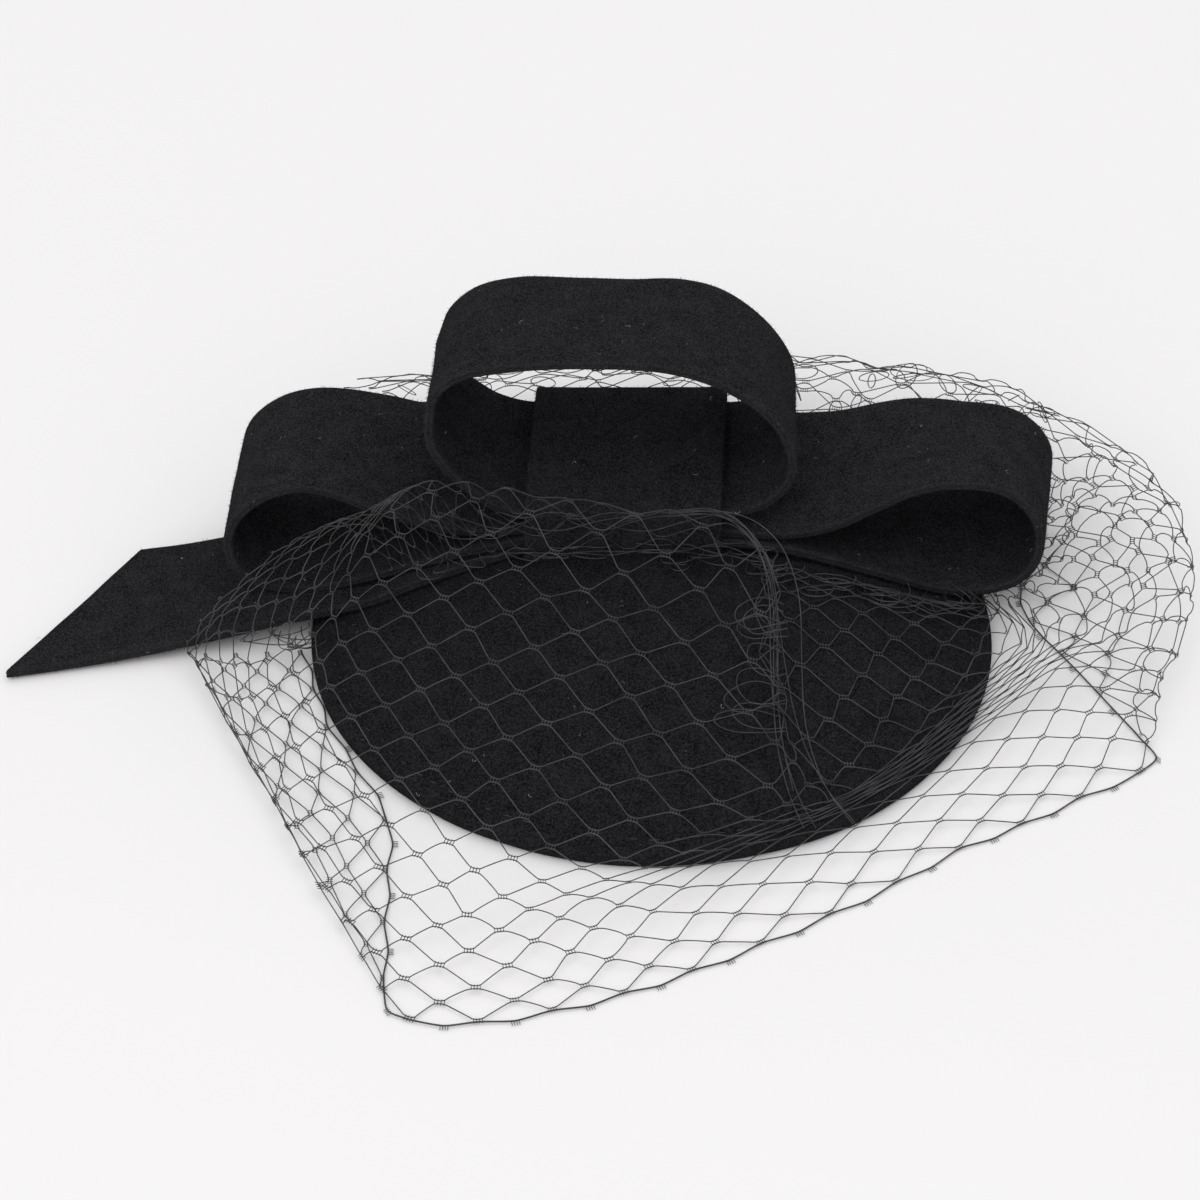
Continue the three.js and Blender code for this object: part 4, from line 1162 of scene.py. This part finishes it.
def wraps_piece(name, settings, places, along, upward, size):
    """The wraps that bind two threads at every place, set along the place's own ways."""
    recipe = Recipe("knot_wraps", Thread=settings.thread * WRAP_THREAD, Knot=settings.knot_length)
    gap = recipe.number("MULTIPLY", recipe["Knot"], WRAP_GAP)
    back = recipe.number("MULTIPLY", gap, (1 - WRAPS) / 2)
    row = recipe.add("GeometryNodeMeshLine", {"mode": "OFFSET", "count_mode": "TOTAL"},
                     Count=WRAPS, Offset=recipe.add("ShaderNodeCombineXYZ", X=gap),
                     Start_Location=recipe.add("ShaderNodeCombineXYZ", X=back))
    wrap = recipe.add("GeometryNodeMeshCylinder", {"fill_type": "NGON"}, Vertices=5,
                      Radius=recipe.number("MULTIPLY", recipe["Thread"], 0.5),
                      Depth=recipe.number("MULTIPLY", recipe["Knot"], WRAP_LENGTH))
    lay = recipe.add("GeometryNodeTransform", Geometry=wrap, Rotation=(math.pi / 2, 0.0, 0.0))
    bound = recipe.add("GeometryNodeInstanceOnPoints", Points=row, Instance=lay)
    turn = None
    for axis, pivot, way in (("X", "AUTO", "along"), ("Y", "X", "upward")):
        after = {"Rotation": turn} if turn else {}
        turn = recipe.add("FunctionNodeAlignRotationToVector", {"axis": axis, "pivot_axis": pivot},
                          Vector=recipe.attribute(way, "FLOAT_VECTOR"), **after)
    placed = recipe.add("GeometryNodeInstanceOnPoints", Points=recipe["Geometry"],
                        Instance=bound, Rotation=turn, Scale=recipe.attribute("size"))
    recipe.close(placed, finish("net_thread"))
    mesh = bare_mesh(f"{name}_places", places * MM)
    for key, values in (("along", along), ("upward", upward), ("size", size)):
        store(mesh, key, values)
    return recipe.bake(new_object(mesh.name, mesh), name)


def gather_lines(net):
    """Crumpled thread at the gather, in the pleat, beside the tail and behind the bow."""
    draw = np.random.RandomState(GATHER_SEED)
    front = net.places[GATHER_FRONT[0]:GATHER_FRONT[1], -1]
    last = len(front) - 1
    lines = []
    for _ in range(WAVERING):  # wavering lines along the gather
        start = draw.uniform(0, last - 8)
        stop = min(start + draw.uniform(7, 16), last)
        line = spline(front, np.linspace(start, stop, 22))
        waver = np.cumsum(draw.normal(0, 1, line.shape), axis=0)
        waver = waver - np.linspace(waver[0], waver[-1], len(waver))
        line = line + np.clip(waver, -4, 4) * (0.3, 0.8, 0.5) + (0, -2.0, 0.8)
        lines.append(rounded(line, 2))
    roots = [(spline(front, np.array([draw.uniform(0, last)]))[0], 1.0) for _ in range(HANGING)]
    roots += [(np.array(VEIL[0].turns[0][1:]) + FROM_CORNER, 1.8)] * BESIDE_TAIL
    for root, spread in roots:  # half cells that hang from the gather and beside the tail
        root = root + draw.uniform(-1, 1, 3) * (5, 3, 1) * spread
        half, drop, lean = draw.uniform(2.5, 7), draw.uniform(4, 12), draw.uniform(-5, 5)
        shape = HALF_CELL * (half, drop, 1)
        shape[2:4, 0] += lean
        lines.append(rounded(root + shape, 3))
    for _ in range(SWAGS):  # swags behind the crest
        middle, half = draw.uniform(-56, -2), draw.uniform(12, 24)
        sag, lean = draw.uniform(6, 15), draw.uniform(-6, 6)
        side, y, z, leans, sags = SWAG.T
        swag = (middle + side * half + leans * lean, y, z - sags * sag)
        lines.append(rounded(np.stack(swag, axis=1), 4))
    step = np.linspace(0, 1, len(PLEAT))[:, None]
    for _ in range(BUNCHED):  # long threads bunched down the pleat
        bulge = np.sin(step * math.pi * draw.uniform(1, 2.4)) * draw.uniform(-5, 5) * (1, 0, 0)
        shift = draw.uniform(-1, 1, 3) * (1.6, 1.5, 1.2)
        fan = draw.uniform(-1, 1, 3) * (14, 5, 1) * step ** 3
        lines.append(rounded((PLEAT + shift + fan + bulge)[:draw.randint(6, 9)], 3))
    for _ in range(LOOPS):  # loops in the pleat
        root = spline(PLEAT, np.array([draw.uniform(3, 5.6)]))[0]
        out, drop, turn = draw.uniform(5, 19), draw.uniform(8, 17), draw.uniform(-4, 4)
        loop = ((0, 0, 0), (-out * 0.5, 3, 1), (-out, turn, 0.5),
                (-out * 1.1, turn - drop * 0.5, 0.5), (-out * 0.8, turn - drop, 0.5),
                (-out * 0.3, -drop * 0.9, 1), (1, -drop * 0.7, 0))
        lines.append(rounded(root + loop, 3))
    for _ in range(RINGS):  # rings behind the bow
        root = net.places[draw.randint(*GATHER_BACK), draw.randint(9, 16)]
        first, second = unit(draw.uniform(-1, 1, 3)), unit(draw.uniform(-1, 1, 3))
        turns = np.linspace(0, 2 * math.pi, 11)[:, None]
        loop = (first * np.cos(turns) * draw.uniform(3, 8)
                + second * np.sin(turns) * draw.uniform(2, 5))
        lines.append(rounded(root + loop * RING_FLAT - RING_DROP, 1))
    return lines


class FASCINATOR_OT_veil(bpy.types.Operator):
    """Gather and drape the coarse diamond net"""

    bl_idname = "fascinator.drape_veil"
    bl_label = "Veil"

    def execute(self, context):
        settings = context.scene.fascinator_veil
        net = drape_net(settings)
        strands = sweep("veil_net", net_strands(net, settings), settings.thread, NET_SIDES)
        hem = sweep("veil_hem", [hem_line(net)], settings.hem_thread, HEM_SIDES)
        tied = np.indices(net.size.shape).sum(axis=0) % 2 == 0
        wraps = wraps_piece("veil_knots", settings, net.places[tied], net.along[tied],
                            net.upward[tied], np.clip(net.size[tied] / NET_GAP, *KNOT_SIZES))
        out = net.places[1::2, 0] - net.upward[1::2, 0] * TUFT_OUT
        out[:, 2] = np.maximum(out[:, 2], HEM_LIFT)
        tufts = wraps_piece("hem_tufts", settings, out, net.along[1::2, 0], net.upward[1::2, 0],
                            np.full(len(out), TUFT_SIZE))
        loops = [above_saucer(line, LOOP_CLEAR) for line in gather_lines(net)]
        gather = sweep("veil_gather", loops, settings.thread, LOOSE_SIDES)
        for piece, nodes in ((strands, ["veil"]), (hem, ()), (wraps, ()), (tufts, ()),
                             (gather, ())):
            press_down(piece)
            settle(piece, "net", *nodes)
        return {"FINISHED"}


# ---- hair comb
class FASCINATOR_OT_comb(bpy.types.Operator):
    """Mould the hair comb under the dome"""

    bl_idname = "fascinator.make_comb"
    bl_label = "Hair comb"

    def execute(self, context):
        settings = context.scene.fascinator_comb
        low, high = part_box("hair_comb")
        pitch = (high.x - low.x - settings.tooth_width) / (settings.teeth - 1)
        bars = [(low.x, high.x, low.y, low.y + settings.spine, 0.0)]
        for k in range(settings.teeth):
            left = low.x + k * pitch
            bars.append((left, left + settings.tooth_width, low.y + settings.spine - 0.0004,
                         high.y, 0.55))
        shape = bmesh.new()
        for x0, x1, y0, y1, narrow in bars:
            inward = (x1 - x0) / 2 * narrow
            corners = [shape.verts.new((x, y, z)) for z in (low.z, high.z)
                       for x, y in ((x0, y0), (x1, y0), (x1 - inward, y1), (x0 + inward, y1))]
            for face in ("3210", "4567", "0154", "1265", "2376", "3047"):
                shape.faces.new([corners[int(k)] for k in face])
        mesh = bpy.data.meshes.new("comb_moulding")
        shape.to_mesh(mesh)
        shape.free()
        mesh.materials.append(finish("moulded_plastic"))
        piece = new_object("comb_moulding", mesh)
        soften_edges(piece, width=0.0007, segments=3)
        piece.data.polygons.foreach_set("use_smooth", [True] * len(piece.data.polygons))
        settle(piece, "comb_plastic", "hair_comb")
        return {"FINISHED"}


# ---- stage
FLOOR_HALF = 4.0
FLOOR_DROP = 0.0002
LIGHT_SIZE = 2.6
LIGHT_TARGET = Vector((0.0, 0.0, 0.03))
LIGHTS = (("softbox_front", (-0.9, -1.45, 1.75), 18.0, (1.0, 0.985, 0.97)),
          ("softbox_top", (0.5, 0.7, 2.1), 10.0, (0.97, 0.98, 1.0)))
SKY_COLOUR = (0.985, 0.985, 1.0, 1.0)
SKY_STRENGTH = 0.76
CAMERA_PLACE = (-0.0158, -1.0206, 0.839)
CAMERA_TARGET = Vector((-0.0158, 0.0191, 0.0))
CAMERA_LENS = 128.1


def aim(name, data, place, target):
    """A lamp or camera at that place, looking at the target."""
    item = new_object(name, data)
    item.location = place
    item.rotation_euler = (target - item.location).to_track_quat("-Z", "Y").to_euler()
    return item


class FASCINATOR_OT_stage(bpy.types.Operator):
    """Set the floor, the soft light and the camera"""

    bl_idname = "fascinator.set_stage"
    bl_label = "Stage"

    def execute(self, context):
        scene = context.scene
        scene.view_settings.view_transform = "Standard"
        corners = [(x * FLOOR_HALF, y * FLOOR_HALF, -FLOOR_DROP)
                   for x, y in ((-1, -1), (1, -1), (1, 1), (-1, 1))]
        mesh_piece("floor", corners, [(0, 1, 2, 3)], finish("pale_floor"))
        scene.world = bpy.data.worlds.new("studio")
        scene.world.use_nodes = True
        sky = scene.world.node_tree.nodes["Background"]
        sky.inputs["Color"].default_value = SKY_COLOUR
        sky.inputs["Strength"].default_value = SKY_STRENGTH
        for name, place, power, colour in LIGHTS:
            light = bpy.data.lights.new(name, "AREA")
            light.shape = "DISK"
            light.size = LIGHT_SIZE
            light.energy = power
            light.color = colour
            aim(name, light, place, LIGHT_TARGET)
        lens = bpy.data.cameras.new("camera")
        lens.sensor_width = 36.0
        lens.lens = CAMERA_LENS
        lens.clip_start = 0.05
        lens.clip_end = 20.0
        scene.camera = aim("camera", lens, CAMERA_PLACE, CAMERA_TARGET)
        return {"FINISHED"}


# ---- sidebar
class FASCINATOR_PT_panel(bpy.types.Panel):
    """Steps that build the fascinator"""

    bl_label = "Fascinator"
    bl_idname = "FASCINATOR_PT_panel"
    bl_space_type = "VIEW_3D"
    bl_region_type = "UI"
    bl_category = "Fascinator"

    def draw(self, context):
        for step in STEPS:
            self.layout.operator(step.bl_idname)
        for key in SETTINGS:
            settings = getattr(context.scene, key)
            box = self.layout.box()
            for name in settings.bl_rna.properties.keys():
                if name not in ("rna_type", "name"):
                    box.prop(settings, name)


STEPS = (FASCINATOR_OT_stage, FASCINATOR_OT_saucer, FASCINATOR_OT_hem_stitches,
         FASCINATOR_OT_comb, FASCINATOR_OT_tail, FASCINATOR_OT_bow, FASCINATOR_OT_knot,
         FASCINATOR_OT_nap, FASCINATOR_OT_veil)

SETTINGS = {
    "fascinator_saucer": SaucerSettings,
    "fascinator_bow": BowSettings,
    "fascinator_nap": NapSettings,
    "fascinator_veil": VeilSettings,
    "fascinator_comb": CombSettings,
    "fascinator_colours": ColourSettings,
}

CLASSES = (*SETTINGS.values(), *STEPS, FASCINATOR_PT_panel)


def register():
    for item in CLASSES:
        bpy.utils.register_class(item)
    for key, settings in SETTINGS.items():
        setattr(bpy.types.Scene, key, bpy.props.PointerProperty(type=settings))


def unregister():
    for key in SETTINGS:
        delattr(bpy.types.Scene, key)
    for item in reversed(CLASSES):
        bpy.utils.unregister_class(item)


def main():
    register()
    for step in STEPS:
        group, action = step.bl_idname.split(".")
        getattr(getattr(bpy.ops, group), action)()


if __name__ == "__main__":
    main()
